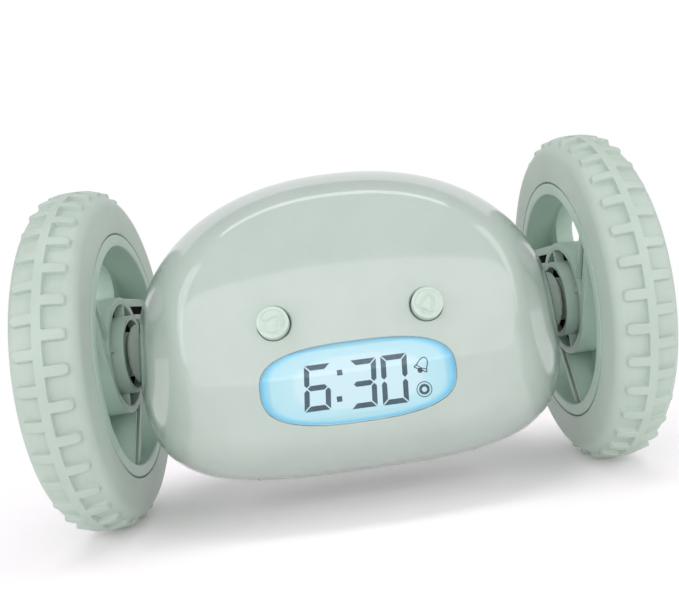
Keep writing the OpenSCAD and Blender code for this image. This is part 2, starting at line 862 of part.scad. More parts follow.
module pinion() {
    // the motor's shaft and its pinion turn as one
    color(brass) at_axle() {
        rod_x(shaft_r, gear_inner_x - motor_len + 2.1, pinion_x1 - gear_inner_x + motor_len - 2.1);
        gear_x(pinion_teeth, pinion_x0, pinion_x1, shaft_r - eps);
    }
}

module idler() {
    color(white) at_axle() {
        gear_x(idler_big_teeth, pinion_x0, idler_big_x1, idler_pin_r + run_gap, idler_z, idler_phase_big);
        gear_x(idler_small_teeth, idler_big_x1 - eps, idler_small_x1, idler_pin_r + run_gap,
               idler_z, idler_phase_small);
    }
}

module drive_gear() {
    color(white) at_axle() gear_x(drive_teeth, drive_x0, drive_x1, axle_r);
}

wheel_screw_r = 1.25;
wheel_screw_head_r = 2.6;
wheel_screw_len = 10;
axle_end_x = disc_inner_x + 0.6;
cap_seat_x = disc_outer_x - 0.8;

module axle() {
    color(steel) at_axle() difference() {
        rod_x(axle_r, drive_x0, axle_end_x - drive_x0);
        rod_x(wheel_screw_r, axle_end_x - wheel_screw_len, far);
    }
}

module wheel_screw() {
    color(steel) at_axle() {
        rod_x(wheel_screw_r, axle_end_x - wheel_screw_len + 1, wheel_screw_len - 1 + eps);
        rod_x(wheel_screw_head_r, axle_end_x, cap_seat_x - axle_end_x - 0.2);
    }
}

// ================= wheels =================

seat_r = wheel_r - tyre_t;
hub_r = 6;
cap_r = 11;
sleeve_r = 10.4;
sleeve_t = 1.3;
drum_t = 1.4;
spoke_wall = 1.1;
spoke_slot = 1.1;
spoke_sink = 0.5;
window_span = 66;
spoke_front_x = wheel_inner_x + 3;
drum_front_x = wheel_inner_x + 1.7;

// A kidney-shaped outline centred on angle a
module kidney(r_mid, half, span, a) {
    rotate(a) {
        intersection() {
            difference() {
                circle(r = r_mid + half);
                circle(r = r_mid - half);
            }
            polygon([[0, 0], far * [cos(span / 2), -sin(span / 2)], [far, 0],
                     far * [cos(span / 2), sin(span / 2)]]);
        }
        for (s = [-1, 1]) rotate(s * span / 2) translate([r_mid, 0]) circle(r = half - 0.02);
    }
}

module rim() {
    barrel_r = seat_r - barrel_t;
    pane_half = (barrel_r - drum_r - 2.4) / 2;
    pane_mid = drum_r + 1.2 + pane_half;
    color(mint) at_axle() difference() {
        union() {
            difference() {
                rod_x(seat_r, wheel_inner_x, disc_outer_x + 0.6 - wheel_inner_x);
                rod_x(barrel_r, wheel_inner_x - 1, disc_inner_x - wheel_inner_x + 1);
                rod_x(barrel_r - 1, disc_outer_x, far);
            }
            difference() {
                rod_x(drum_r, drum_front_x, disc_inner_x - drum_front_x + eps);
                rod_x(drum_r - drum_t, drum_front_x - 1, disc_inner_x - drum_front_x + 1);
            }
            difference() {
                rod_x(sleeve_r, wheel_inner_x - 0.4, disc_inner_x - wheel_inner_x + 0.4 + eps);
                rod_x(sleeve_r - sleeve_t, wheel_inner_x - 2, disc_inner_x - wheel_inner_x + 2);
            }
            rod_x(hub_r, hub_inner_x, disc_inner_x - hub_inner_x + eps);
            for (i = [0 : spoke_count - 1]) rotate([i * 360 / spoke_count, 0, 0])
                for (s = [-1, 1])
                    translate([spoke_front_x, s * (spoke_slot + spoke_wall) / 2 - spoke_wall / 2,
                               -barrel_r - spoke_sink])
                        cube([disc_inner_x - spoke_front_x + eps, spoke_wall,
                              barrel_r - drum_r + drum_t / 2 + spoke_sink]);
        }
        rod_x(axle_r, hub_inner_x - 1, far);
        rod_x(cap_r - 1.2, cap_seat_x, far);
        rod_x(wheel_screw_head_r + slide_gap, axle_end_x, far);
        translate([disc_inner_x - 1, 0, 0]) rotate([0, 90, 0]) linear_extrude(disc_t + 2)
            for (i = [0 : spoke_count - 1])
                kidney(pane_mid, pane_half, window_span * 3 / spoke_count, (i + 0.5) * 360 / spoke_count);
    }
}

module hub_cap() {
    // a shallow domed cap with a plug that fills the disc's recess
    crown = wheel_outer_x - 0.3;
    color(mint) at_axle() rotate([0, 90, 0]) rotate_extrude()
        polygon([[0, cap_seat_x], [cap_r - 1.2, cap_seat_x], [cap_r - 1.2, disc_outer_x],
                 [cap_r, disc_outer_x], [cap_r - 0.3, crown - 0.9], [cap_r - 2.5, crown - 0.25], [0, crown]]);
}

// The tread is flat over the rib, falls a little over the lugs and more at their ends
rib_half = rib_w / 2;
lug_reach = rib_half + lug_len;
tread_knee = rib_half + 0.7 * lug_len;
knee_drop = 0.4;
end_drop = 1;
carcass_r = wheel_r - lug_h;
lug_sink = 0.6;

// A half section as [distance from the mid plane, radius], turned about X on both sides of the plane
module ring_of(half_section) {
    count = len(half_section);
    both = concat(half_section,
                  [for (i = [count - 1 : -1 : 0]) [-half_section[i][0], half_section[i][1]]]);
    translate([wheel_mid_x, 0, 0]) rotate([0, 90, 0]) rotate_extrude()
        polygon([for (p = both) [p[1], p[0]]]);
}

module tyre() {
    half_w = tyre_w / 2;
    carcass = [[half_w, seat_r], [half_w, carcass_r - 3.3], [half_w - 0.3, carcass_r - 2.4],
               [half_w - 1.1, carcass_r - 1.3], [lug_reach, carcass_r - 0.7],
               [tread_knee, carcass_r - knee_drop], [rib_half, carcass_r]];
    tread = [[lug_reach, carcass_r - end_drop - lug_sink], [lug_reach, wheel_r - end_drop],
             [tread_knee, wheel_r - knee_drop], [rib_half, wheel_r]];
    color(mint) at_axle() {
        ring_of(carcass);
        intersection() {
            ring_of(tread);
            union() {
                rod_x(wheel_r + 1, wheel_mid_x - rib_half, rib_w);
                for (s = [0, 1]) for (i = [0 : lug_count - 1])
                    translate([wheel_mid_x, 0, 0]) rotate([(i + s / 2) * 360 / lug_count, 0, 0])
                        mirror([s == 0 ? 1 : 0, 0, 0]) lug();
            }
        }
    }
}

// One lug, reaching +X from the rib's middle, with a clipped end
module lug() {
    end = lug_reach - 0.05;
    clip = lug_w / 4;
    translate([0, 0, wheel_r - lug_h - 1]) linear_extrude(lug_h + 2)
        polygon([[0, -lug_w / 2], [end - clip, -lug_w / 2], [end, -lug_w / 2 + clip],
                 [end, lug_w / 2 - clip], [end - clip, lug_w / 2], [0, lug_w / 2]]);
}

// ================= the nodes =================

front_shell();
rear_shell();
window_lens();
window_rim();
lcd_glass();
lcd_digits();
backlight_plate();
lcd_frame();
contact_strip();
main_board();
control_chip();
crystal();
capacitors();
front_switches();
sleep_button();
alarm_button();
rear_board();
rear_switches();
hour_button();
minute_button();
set_button();
motion_button();
speaker();
battery_tray();
contact_springs();
contact_plates();
battery_1();
battery_2();
battery_3();
battery_4();
battery_door();
case_screws();
board_screws();
side("left") motor();  // left_motor
side("right") motor();  // right_motor
side("left") pinion();  // left_pinion
side("right") pinion();  // right_pinion
side("left") idler();  // left_idler
side("right") idler();  // right_idler
side("left") gearbox();  // left_gearbox
side("right") gearbox();  // right_gearbox
side("left") gearbox_cover();  // left_gearbox_cover
side("right") gearbox_cover();  // right_gearbox_cover
side("left") drive_gear();  // left_drive_gear
side("right") drive_gear();  // right_drive_gear
side("left") bush();  // left_bush
side("right") bush();  // right_bush
side("left") axle();  // left_axle
side("right") axle();  // right_axle
side("left") rim();  // left_rim
side("right") rim();  // right_rim
side("left") tyre();  // left_tyre
side("right") tyre();  // right_tyre
side("left") hub_cap();  // left_hub_cap
side("right") hub_cap();  // right_hub_cap
side("left") wheel_screw();  // left_wheel_screw
side("right") wheel_screw();  // right_wheel_screw
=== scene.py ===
"""Looks of the runaway alarm clock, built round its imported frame.

Lengths are in millimetres, and heights are counted from the wheels' axis. solid() turns them into
the frame's metres and lifts them to the axis. The front faces -Y and +X is to the right.
"""

import math

import bmesh
import bpy
import numpy as np
from mathutils import Matrix, Vector


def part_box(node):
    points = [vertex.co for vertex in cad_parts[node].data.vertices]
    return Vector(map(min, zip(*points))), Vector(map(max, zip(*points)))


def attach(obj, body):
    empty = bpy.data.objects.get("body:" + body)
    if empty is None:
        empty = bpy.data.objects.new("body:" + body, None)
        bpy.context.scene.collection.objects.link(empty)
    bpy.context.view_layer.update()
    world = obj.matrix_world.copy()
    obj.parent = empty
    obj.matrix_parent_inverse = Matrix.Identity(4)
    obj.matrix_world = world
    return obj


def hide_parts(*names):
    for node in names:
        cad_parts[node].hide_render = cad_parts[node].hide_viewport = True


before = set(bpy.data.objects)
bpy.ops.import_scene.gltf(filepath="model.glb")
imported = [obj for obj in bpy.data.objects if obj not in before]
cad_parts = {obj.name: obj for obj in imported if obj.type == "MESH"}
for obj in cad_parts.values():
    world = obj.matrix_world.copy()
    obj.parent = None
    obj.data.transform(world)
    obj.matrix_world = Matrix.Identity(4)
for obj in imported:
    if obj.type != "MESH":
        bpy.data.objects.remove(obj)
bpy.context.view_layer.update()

MM = 0.001


def extent(node):
    """A node's lowest and highest corners in millimetres, with heights from the axis."""
    low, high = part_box(node)
    lift = np.array([0, 0, AXLE_Z])
    return np.array(low) / MM - lift, np.array(high) / MM - lift


# ---- the wheel's radius, and places that the frame gives ----
WHEEL_R = 44.5
AXLE_Z = WHEEL_R
GLASS_FRONT_Y = extent("lcd_glass")[0][1]
DOOR_LOW, DOOR_HIGH = extent("battery_door")
CAP_IN, CAP_OUT = (corner[0] for corner in extent("right_hub_cap"))
WHEEL_IN, WHEEL_OUT = (corner[0] for corner in extent("right_tyre"))
SPEAKER_Z = sum(corner[2] for corner in extent("speaker")) / 2

# ---- the body's skin: the rule of the two shells, with slightly changed numbers ----
BODY_W = 111.6
TOP_REACH, BOTTOM_REACH = 44.9, 34.3
FRONT_REACH, REAR_REACH = 43.6, 38.0
BODY_DROP = 3.5
TOP_POWER, BOTTOM_POWER, DEPTH_POWER = 2.2, 3.4, 2.2
FACE_LEAN = math.radians(7.8)
FACE_REACH, FACE_DEPTH = 37.75, 60.0
FACE_BEND_X, FACE_BEND_Z = 170.0, 105.0
BLEND = 120  # much higher than in the shells, for a crisp edge round the face
WALL = 2.0
BODY_CENTRE = np.array([0.0, 0.0, -BODY_DROP])
FACE_OUT = np.array([0.0, -math.cos(FACE_LEAN), math.sin(FACE_LEAN)])
FACE_UP = np.array([0.0, math.sin(FACE_LEAN), math.cos(FACE_LEAN)])

# ---- window, buttons and back ----
WINDOW_W, WINDOW_H, WINDOW_Z = 44.4, 18.0, -11.3
OVAL_POWER = 2.8
FRONT_BUTTON_R, FRONT_BUTTON_X, FRONT_BUTTON_Z = 3.65, 17.4, 3.7
FRONT_BUTTON_PROUD, FRONT_TILT = 2.4, math.radians(12)
REAR_BUTTON_R, REAR_BUTTON_GAP, REAR_BUTTON_Z, REAR_BUTTON_PROUD = 3.2, 14.0, -10.0, 1.2
BUTTON_GAP = 0.2
CASE_SCREWS = [(s * x, z) for x, z in ((27, 25), (34, -28.4)) for s in (-1, 1)]
SCREW_WELL_R = 2.6
SOUND_HOLE_R, SOUND_HOLE_GAP = 0.85, 3.6
DOOR_EDGE_Z = -27.1
COLLAR_IN, COLLAR_OUT, COLLAR_PROUD, COLLAR_ROOT = 6.5, 7.8, 1.8, 5.5
FAR = 90.0  # past every surface, for cutting tools

# ---- wheel, along X from its inner side, with radii ----
WHEEL_MID = (WHEEL_IN + WHEEL_OUT) / 2
SEAT_R, BARREL_R = 32.5, 29.3
TREAD_R, CROWN_DROP, CROWN_REACH, SHOULDER_R = 43.29, 0.75, 3.9, 39.6
LUG_COUNT, LUG_H, LUG_HALF, LUG_END = 36, 1.2, 1.3, 5.5
LUG_PITCH = 2 * math.pi / LUG_COUNT
LUG_CORNER, LUG_HIDDEN = 0.75, 0.4  # a lug's rounding, and its part under the rib
RIB_HALF = 1.1
TREAD_EDGE = 6.6  # nothing is raised beyond this distance from the tyre's middle
DRUM_OUT, DRUM_IN = 15.6, 13.6
SLEEVE_OUT, SLEEVE_IN = 10.4, 9.1
CORE_OUT, CORE_IN = 6, 2.6
DRUM_X, DISC_IN, DISC_OUT = WHEEL_IN + 1.7, WHEEL_IN + 8.3, CAP_IN + 0.8
ROOT_X, SHADE_LINER_ROOT_X = DISC_IN + 0.5, WHEEL_IN + 8.5
OUTER_WALL, INNER_WALL, SPOKE_SLOT = (13.1, 15.3), (9.5, 10.8), (10.7, 13.2)
SPOKE_RUNS = [math.radians(a) for a in (90, 210, 330)]
RIB_ANGLES = [math.radians(a) for a in (10, 100, 190, 280)]
PANE_MID, PANE_HALF, PANE_SPAN = 21.8, 6.3, math.radians(62)
SCREW_R, CAP_SEAT_R = 2.5, 9.9


# =============================== mesh tools ===============================

def solid(name, points, faces, sharp=35, tidy=True):
    """A mesh object from points in millimetres round the axis."""
    mesh = bpy.data.meshes.new(name)
    points = (np.asarray(points, float) + (0, 0, AXLE_Z)) * MM
    mesh.from_pydata(points.tolist(), [], [list(map(int, f)) for f in faces])
    if tidy:
        shape = bmesh.new()
        shape.from_mesh(mesh)
        bmesh.ops.remove_doubles(shape, verts=shape.verts, dist=1e-7)
        bmesh.ops.dissolve_degenerate(shape, edges=shape.edges, dist=1e-7)
        bmesh.ops.recalc_face_normals(shape, faces=shape.faces)
        shape.to_mesh(mesh)
        shape.free()
    piece = bpy.data.objects.new(name, mesh)
    bpy.context.scene.collection.objects.link(piece)
    soften_shading(mesh, sharp)
    return piece


def soften_shading(mesh, sharp=35):
    mesh.polygons.foreach_set("use_smooth", [True] * len(mesh.polygons))
    mesh.set_sharp_from_angle(angle=math.radians(sharp))


def grid_faces(rows, columns, wrap_rows=False):
    """Quads over a grid whose last column joins the first."""
    faces = []
    for i in range(rows if wrap_rows else rows - 1):
        k = (i + 1) % rows
        for j in range(columns):
            n = (j + 1) % columns
            faces.append((i * columns + j, i * columns + n, k * columns + n, k * columns + j))
    return faces


def loft(rings, closed=False):
    """A tool through rings of as many points each, capped unless the last ring joins the first."""
    rows, columns = len(rings), len(rings[0])
    faces = grid_faces(rows, columns, wrap_rows=closed)
    if not closed:
        faces += [tuple(range(columns)), tuple(range((rows - 1) * columns, rows * columns))]
    return solid("tool", np.concatenate(rings), faces)


def bend(outline, radius, steps=4):
    """A closed outline with its corners rounded. radius is one number or one for each corner."""
    outline = [np.array(p, float) for p in outline]
    count = len(outline)
    radii = [radius] * count if np.isscalar(radius) else radius
    out = []
    for i, p in enumerate(outline):
        before, after = outline[i - 1] - p, outline[(i + 1) % count] - p
        reach = min(radii[i], 0.45 * np.linalg.norm(before), 0.45 * np.linalg.norm(after))
        if reach < 1e-6:
            out.append(p)
            continue
        a = p + before / np.linalg.norm(before) * reach
        b = p + after / np.linalg.norm(after) * reach
        for t in np.linspace(0, 1, steps + 1):
            out.append((1 - t) ** 2 * a + 2 * t * (1 - t) * p + t * t * b)
    return out


def lathe(name, outline, segments):
    """A closed outline of (along X, radius) turned about the X axis."""
    angles = np.linspace(0, 2 * math.pi, segments, endpoint=False)
    rings = [[(x, r * math.cos(a), r * math.sin(a)) for x, r in outline] for a in angles]
    return solid(name, np.array(rings).reshape(-1, 3), grid_faces(segments, len(outline), wrap_rows=True))


def brick(low, high, edge=0.0, turn=0.0):
    """A tool in the form of a box with rounded edges, turned about the X axis."""
    shape = bmesh.new()
    bmesh.ops.create_cube(shape, size=1)
    low, high = np.array(low, float), np.array(high, float)
    for v in shape.verts:
        v.co = Vector((np.array(v.co) + 0.5) * (high - low) + low)
    if edge:
        bmesh.ops.bevel(shape, geom=shape.edges, offset=edge, segments=2, profile=0.5, affect="EDGES")
    shape.transform(Matrix.Rotation(turn, 4, "X"))
    shape.verts.index_update()
    points = [tuple(v.co) for v in shape.verts]
    faces = [[v.index for v in f.verts] for f in shape.faces]
    shape.free()
    return solid("tool", points, faces)


def carve(piece, tools, operation="DIFFERENCE"):
    """Cuts, joins or keeps what the tools cover, and deletes the tools."""
    for tool in tools:
        step = piece.modifiers.new("carve", "BOOLEAN")
        step.operation = operation
        step.solver = "MANIFOLD"
        step.object = tool
    depsgraph = bpy.context.evaluated_depsgraph_get()
    made = bpy.data.meshes.new_from_object(piece.evaluated_get(depsgraph))
    piece.modifiers.clear()
    piece.data = made
    for tool in tools:
        bpy.data.objects.remove(tool)
    soften_shading(made)
    return piece


def offset_outline(outline, by):
    """A closed outline moved outwards by a distance."""
    p = np.asarray(outline, float)
    along = np.roll(p, -1, 0) - np.roll(p, 1, 0)
    along /= np.linalg.norm(along, axis=1)[:, None]
    area = np.sum(p[:, 0] * np.roll(p[:, 1], -1) - np.roll(p[:, 0], -1) * p[:, 1])
    out = np.stack([along[:, 1], -along[:, 0]], 1) * (1 if area > 0 else -1)
    return p + out * by


def flare(radius):
    """(offset outwards, depth) along a rounded lip, from just above a surface down into it."""
    angles = np.linspace(math.radians(14), math.pi / 2, 5)
    lip = [(radius * (1 - math.sin(a)), radius * (1 - math.cos(a))) for a in angles]
    slope = radius * 0.35
    return [(lip[0][0] + slope, lip[0][1] - slope * 0.3)] + lip


def headings(path, closed):
    """Unit directions along a path at each of its points."""
    before = np.roll(path, 1, 0) if closed else np.concatenate([path[:1], path[:-1]])
    after = np.roll(path, -1, 0) if closed else np.concatenate([path[1:], path[-1:]])
    along = after - before
    return along / np.linalg.norm(along, axis=1)[:, None]


def copy_of(piece, name):
    other = bpy.data.objects.new(name, piece.data.copy())
    bpy.context.scene.collection.objects.link(other)
    return other


def mirrored(piece, name):
    """A copy of a piece, mirrored to the other side."""
    other = copy_of(piece, name)
    other.data.transform(Matrix.Scale(-1, 4, (1, 0, 0)))
    other.data.flip_normals()
    return other


def finish_piece(piece, material, body, replaces=()):
    piece.data.materials.clear()
    piece.data.materials.append(material)
    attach(piece, body)
    if replaces:
        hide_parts(*replaces)
    return piece


# =============================== materials ===============================

def srgb(r, g, b):
    """Linear colour from the 0 to 255 values seen on a screen."""
    return [((c / 255 + 0.055) / 1.055) ** 2.4 if c > 10 else c / 255 / 12.92 for c in (r, g, b)] + [1]


def fill(node, **values):
    """Sets a node's sockets by name, with _ for a space."""
    for key, value in values.items():
        node.inputs[key.replace("_", " ")].default_value = value
    return node


class Graph:
    """A material's node tree, written a little shorter."""

    def __init__(self, name):
        self.material = bpy.data.materials.new(name)
        self.material.use_nodes = True
        self.tree = self.material.node_tree
        self.tree.nodes.clear()
        self.place = self.add("ShaderNodeTexCoord").outputs["Object"]

    def add(self, kind, **settings):
        node = self.tree.nodes.new(kind)
        for key, value in settings.items():
            setattr(node, key, value)
        return node

    def link(self, source, target):
        self.tree.links.new(source, target)

    def math(self, operation, a, b=0.5, c=0.5):
        node = self.add("ShaderNodeMath", operation=operation)
        for socket, value in zip(node.inputs, (a, b, c)):
            if isinstance(value, (int, float)):
                socket.default_value = value
            else:
                self.link(value, socket)
        return node.outputs[0]

    def noise(self, scale, detail):
        node = fill(self.add("ShaderNodeTexNoise"), Scale=scale, Detail=detail, Roughness=0.5)
        self.link(self.place, node.inputs["Vector"])
        return node.outputs["Fac"]

    def ramp(self, source, stops):
        node = self.add("ShaderNodeValToRGB")
        self.link(source, node.inputs["Fac"])
        marks = node.color_ramp.elements
        while len(marks) < len(stops):
            marks.new(0.5)
        for mark, (at, colour) in zip(marks, stops):
            mark.position = at
            mark.color = colour
        return node.outputs["Color"]

    def spread(self, source, low, high):
        node = fill(self.add("ShaderNodeMapRange"), From_Min=0.3, From_Max=0.7, To_Min=low, To_Max=high)
        self.link(source, node.inputs["Value"])
        return node.outputs["Result"]

    def bump(self, height, depth, under=None):
        node = fill(self.add("ShaderNodeBump"), Distance=depth)
        self.link(height, node.inputs["Height"])
        if under is not None:
            self.link(under, node.inputs["Normal"])
        return node.outputs["Normal"]

    def surface(self, shader):
        self.link(shader, self.add("ShaderNodeOutputMaterial").inputs["Surface"])
        return self.material


def shade(colour, by):
    return [min(1, c * by) for c in colour[:3]] + [1]


def plastic(name, colour, roughness, grain=0.0, grain_scale=2500, ripple=0.0, **sockets):
    """Moulded plastic: faint mottling, a roughness that wanders, fine grain and a slow ripple."""
    g = Graph(name)
    body = g.add("ShaderNodeBsdfPrincipled")
    g.link(g.ramp(g.noise(90, 4), [(0.3, shade(colour, 0.97)), (0.7, shade(colour, 1.03))]),
           body.inputs["Base Color"])
    g.link(g.spread(g.noise(160, 3), roughness * 0.9, roughness * 1.1), body.inputs["Roughness"])
    normal = None
    if ripple:
        normal = g.bump(g.noise(60, 1), ripple)
    if grain:
        normal = g.bump(g.noise(grain_scale, 2), grain, normal)
    if normal is not None:
        g.link(normal, body.inputs["Normal"])
    fill(body, **sockets)
    return g.surface(body.outputs[0])


def metal(name, colour, roughness):
    g = Graph(name)
    streaks = 3000
    body = fill(g.add("ShaderNodeBsdfPrincipled"), Metallic=1)
    g.link(g.ramp(g.noise(400, 3), [(0.3, shade(colour, 0.92)), (0.7, shade(colour, 1.05))]),
           body.inputs["Base Color"])
    g.link(g.spread(g.noise(streaks, 2), roughness * 0.8, roughness * 1.25), body.inputs["Roughness"])
    g.link(g.bump(g.noise(streaks, 2), 0.000004), body.inputs["Normal"])
    return g.surface(body.outputs[0])


MINT = srgb(187, 199, 191)
RIM_MINT = srgb(180, 202, 189)
TYRE_MINT = srgb(189, 202, 192)
PALE = srgb(204, 218, 207)
DARK = srgb(26, 28, 28)

M = {
    "body": plastic("body_gloss", MINT, 0.12, ripple=0.000008, Coat_Weight=0.7, Coat_Roughness=0.05),
    "rim": plastic("rim_satin", RIM_MINT, 0.34, grain=0.000004),
    # near-black matte, used only as painted shade inside the wheels' pockets and slots
    "pocket_shade": plastic("pocket_painted_shade", srgb(13, 14, 14), 0.9, Specular_IOR_Level=0.1),
    "tyre": plastic("tyre_satin", TYRE_MINT, 0.46, grain=0.00001, grain_scale=1800),
    "button": plastic("button_satin", PALE, 0.38, grain=0.000006),
    "dark": plastic("dark_plastic", DARK, 0.5, grain=0.00001),
    "white": plastic("white_plastic", srgb(232, 232, 228), 0.45, grain=0.000006),
    "board": plastic("board_green", srgb(34, 96, 62), 0.35, grain=0.00001),
    "cell": plastic("cell_sleeve", srgb(66, 104, 92), 0.25),
    "steel": metal("steel", srgb(190, 192, 196), 0.28),
    "brass": metal("brass", srgb(204, 172, 104), 0.3),
    "rubber": plastic("contact_rubber", srgb(214, 120, 130), 0.6, grain=0.00001),
    "digit": plastic("digit_ink", srgb(70, 95, 110), 0.5, grain=0.000003),
}


# =============================== the body's skin ===============================

def two_reaches(d, inset=0.0):
    """Distances from the body's centre to the pebble and to the domed face along unit directions d."""
    up, front = d[:, 2] > 0, d[:, 1] < 0
    power = np.where(up, TOP_POWER, BOTTOM_POWER)
    reach_z = np.where(up, TOP_REACH, BOTTOM_REACH) - inset
    reach_y = np.where(front, FRONT_REACH, REAR_REACH) - inset
    across = (abs(d[:, 0]) / (BODY_W / 2 - inset)) ** power + (abs(d[:, 2]) / reach_z) ** power
    pebble = (across ** (DEPTH_POWER / power) + (abs(d[:, 1]) / reach_y) ** DEPTH_POWER) ** (-1 / DEPTH_POWER)
    half_x, half_z = math.sqrt(FACE_BEND_X * FACE_DEPTH), math.sqrt(FACE_BEND_Z * FACE_DEPTH)
    e = np.stack([d[:, 0] / half_x, d @ FACE_OUT / FACE_DEPTH, d @ FACE_UP / half_z], 1)
    k = (FACE_REACH - inset) / FACE_DEPTH - 1
    ee, half_b = (e * e).sum(1), e[:, 1] * k
    dome = (half_b + np.sqrt(half_b * half_b - ee * (k * k - 1))) / ee
    return pebble, dome


def skin_reach(d, inset=0.0):
    """Distance from the body's centre to the skin, which is the nearer of the two with a small rounding."""
    pebble, dome = two_reaches(d, inset)
    return (pebble ** -BLEND + dome ** -BLEND) ** (-1 / BLEND)


def depth_ratio(p, inset=0.0):
    """Below 1 inside the skin, above 1 outside it."""
    v = p - BODY_CENTRE
    length = np.linalg.norm(v, axis=1)
    return length / skin_reach(v / length[:, None], inset)


def skin_normal(p):
    step = 0.02
    slope = [depth_ratio(p + step * e) - depth_ratio(p - step * e) for e in np.eye(3)]
    n = np.stack(slope, 1)
    return n / np.linalg.norm(n, axis=1)[:, None]


def skin_y(x, z, front=True, inset=0.0):
    """The skin's y on lines through (x, z) that run front to back."""
    x, z = np.broadcast_arrays(np.asarray(x, float), np.asarray(z, float))
    x, z = x.ravel(), z.ravel()
    side = -1 if front else 1
    low, high = np.zeros_like(x), np.full_like(x, 60.0)
    for _ in range(40):
        y = (low + high) / 2
        inside = depth_ratio(np.stack([x, side * y, z], 1), inset) < 1
        low, high = np.where(inside, y, low), np.where(inside, high, y)
    return side * low


def polar(away, round_y):
    """Unit directions at angles away from the front and round the line from front to back."""
    side = np.sin(away)
    return np.stack([side * np.cos(round_y), -np.cos(away), side * np.sin(round_y)], -1)


def crease_angle(round_y, inset):
    """How far from the front the domed face meets the pebble, for each angle round."""
    low, high = np.full_like(round_y, 0.3), np.full_like(round_y, math.pi / 2 - 0.1)
    for _ in range(30):
        middle = (low + high) / 2
        pebble, dome = two_reaches(polar(middle, round_y), inset)
        low, high = np.where(dome < pebble, middle, low), np.where(dome < pebble, high, middle)
    return low


def skin_mesh(inset, columns, face_rows, side_rows, rear_rows):
    """The whole skin as a closed mesh whose rows run along the crease and the parting plane."""
    round_y = np.linspace(0, 2 * math.pi, columns, endpoint=False)
    crease = crease_angle(round_y, inset)
    scale = skin_reach(polar(crease, round_y), inset)
    margin = 1.5 / scale
    rows = [crease * k - margin * k for k in np.linspace(0, 1, face_rows)[1:]]
    rows += [crease + step / scale for step in (-0.9, -0.5, -0.28, -0.12, 0, 0.12, 0.28, 0.5, 0.9)]
    start = crease + margin
    rows += [start + (math.pi / 2 - start) * k for k in np.linspace(0, 1, side_rows)]
    rows += [np.full(columns, math.pi / 2 * (1 + k)) for k in np.linspace(0, 1, rear_rows)[1:-1]]
    poles = np.array([[0, -1.0, 0], [0, 1.0, 0]])
    directions = np.concatenate([polar(row, round_y) for row in rows] + [poles])
    faces = [f[::-1] for f in grid_faces(len(rows), columns)]
    front, rear = len(rows) * columns, len(rows) * columns + 1
    last = (len(rows) - 1) * columns
    for j in range(columns):
        k = (j + 1) % columns
        faces += [(front, j, k), (rear, last + k, last + j)]
    return directions * skin_reach(directions, inset)[:, None] + BODY_CENTRE, faces


def shell_solid(name):
    """The hollow body: the skin, and inside it the same skin drawn in by the wall."""
    outer, outer_faces = skin_mesh(0, 420, 44, 26, 54)
    inner, inner_faces = skin_mesh(WALL, 160, 16, 10, 22)
    shift = len(outer)
    faces = outer_faces + [tuple(v + shift for v in f[::-1]) for f in inner_faces]
    return solid(name, np.concatenate([outer, inner]), faces, tidy=False)


def true_normals(piece):
    """Gives each mesh corner that lies on the skin its exact normal, so that gloss runs smoothly."""
    mesh = piece.data
    co = np.zeros(len(mesh.vertices) * 3)
    mesh.vertices.foreach_get("co", co)
    p = co.reshape(-1, 3) / MM - (0, 0, AXLE_Z)
    on_skin = np.abs(np.linalg.norm(p - BODY_CENTRE, axis=1) * (1 - 1 / depth_ratio(p))) < 0.03
    corner_vertex = np.zeros(len(mesh.loops), int)
    mesh.loops.foreach_get("vertex_index", corner_vertex)
    normals = np.zeros(len(mesh.loops) * 3)
    mesh.corner_normals.foreach_get("vector", normals)
    normals = normals.reshape(-1, 3)
    exact = skin_normal(p)[corner_vertex]
    near = (normals * exact).sum(1) > 0.6
    use = on_skin[corner_vertex] & near
    normals[use] = exact[use]
    mesh.normals_split_custom_set(normals.tolist())


def oval(w, h, n=160):
    angles = np.linspace(0, 2 * math.pi, n, endpoint=False)
    c, s = np.cos(angles), np.sin(angles)
    return np.stack([w / 2 * np.sign(c) * abs(c) ** (2 / OVAL_POWER),
                     h / 2 * np.sign(s) * abs(s) ** (2 / OVAL_POWER)], 1)


def circle(r, n=64):
    angles = np.linspace(0, 2 * math.pi, n, endpoint=False)
    return r * np.stack([np.cos(angles), np.sin(angles)], 1)


def skin_cutter(outline, lip, deep, front=True):
    """A tool that cuts an outline drawn in the XZ plane through the skin, with a rounded lip."""
    side = -1 if front else 1
    rings = []
    steps = flare(lip)
    for by, depth in [(steps[0][0], -6.0)] + steps + [(0, deep)]:
        ring = offset_outline(outline, by)
        y = skin_y(ring[:, 0], ring[:, 1], front)
        rings.append(np.stack([ring[:, 0], y - side * depth, ring[:, 1]], 1))
    return loft(rings)


def tilted_ring(r, sx, along):
    """A circle round a front button's line, at a distance outwards from the skin."""
    y0 = skin_y(sx, FRONT_BUTTON_Z)[0]
    out = np.array([0, -math.cos(FRONT_TILT), math.sin(FRONT_TILT)])
    up = np.array([0, math.sin(FRONT_TILT), math.cos(FRONT_TILT)])
    centre = np.array([sx, y0, FRONT_BUTTON_Z]) + out * along
    ring = circle(r)
    return centre + ring[:, :1] * np.array([1, 0, 0]) + ring[:, 1:] * up


def front_button_cutter(sx):
    r = FRONT_BUTTON_R + BUTTON_GAP
    rings = [tilted_ring(r + by, sx, -depth) for by, depth in [(0.45, -6)] + flare(0.3) + [(0, 8)]]
    return loft(rings)


def seam_groove():
    """A V-shaped groove round the body at the parting plane."""
    angles = np.linspace(0, 2 * math.pi, 360, endpoint=False)
    d = np.stack([np.cos(angles), np.zeros_like(angles), np.sin(angles)], 1)
    p = d * skin_reach(d)[:, None] + BODY_CENTRE
    n = skin_normal(p)
    n[:, 1] = 0
    half, depth, above = 0.28, 0.45, 1.0
    mouth = half * (1 + above / depth)
    rings = [p + n * above + (0, -mouth, 0), p - n * depth, p + n * above + (0, mouth, 0)]
    return loft(rings, closed=True)


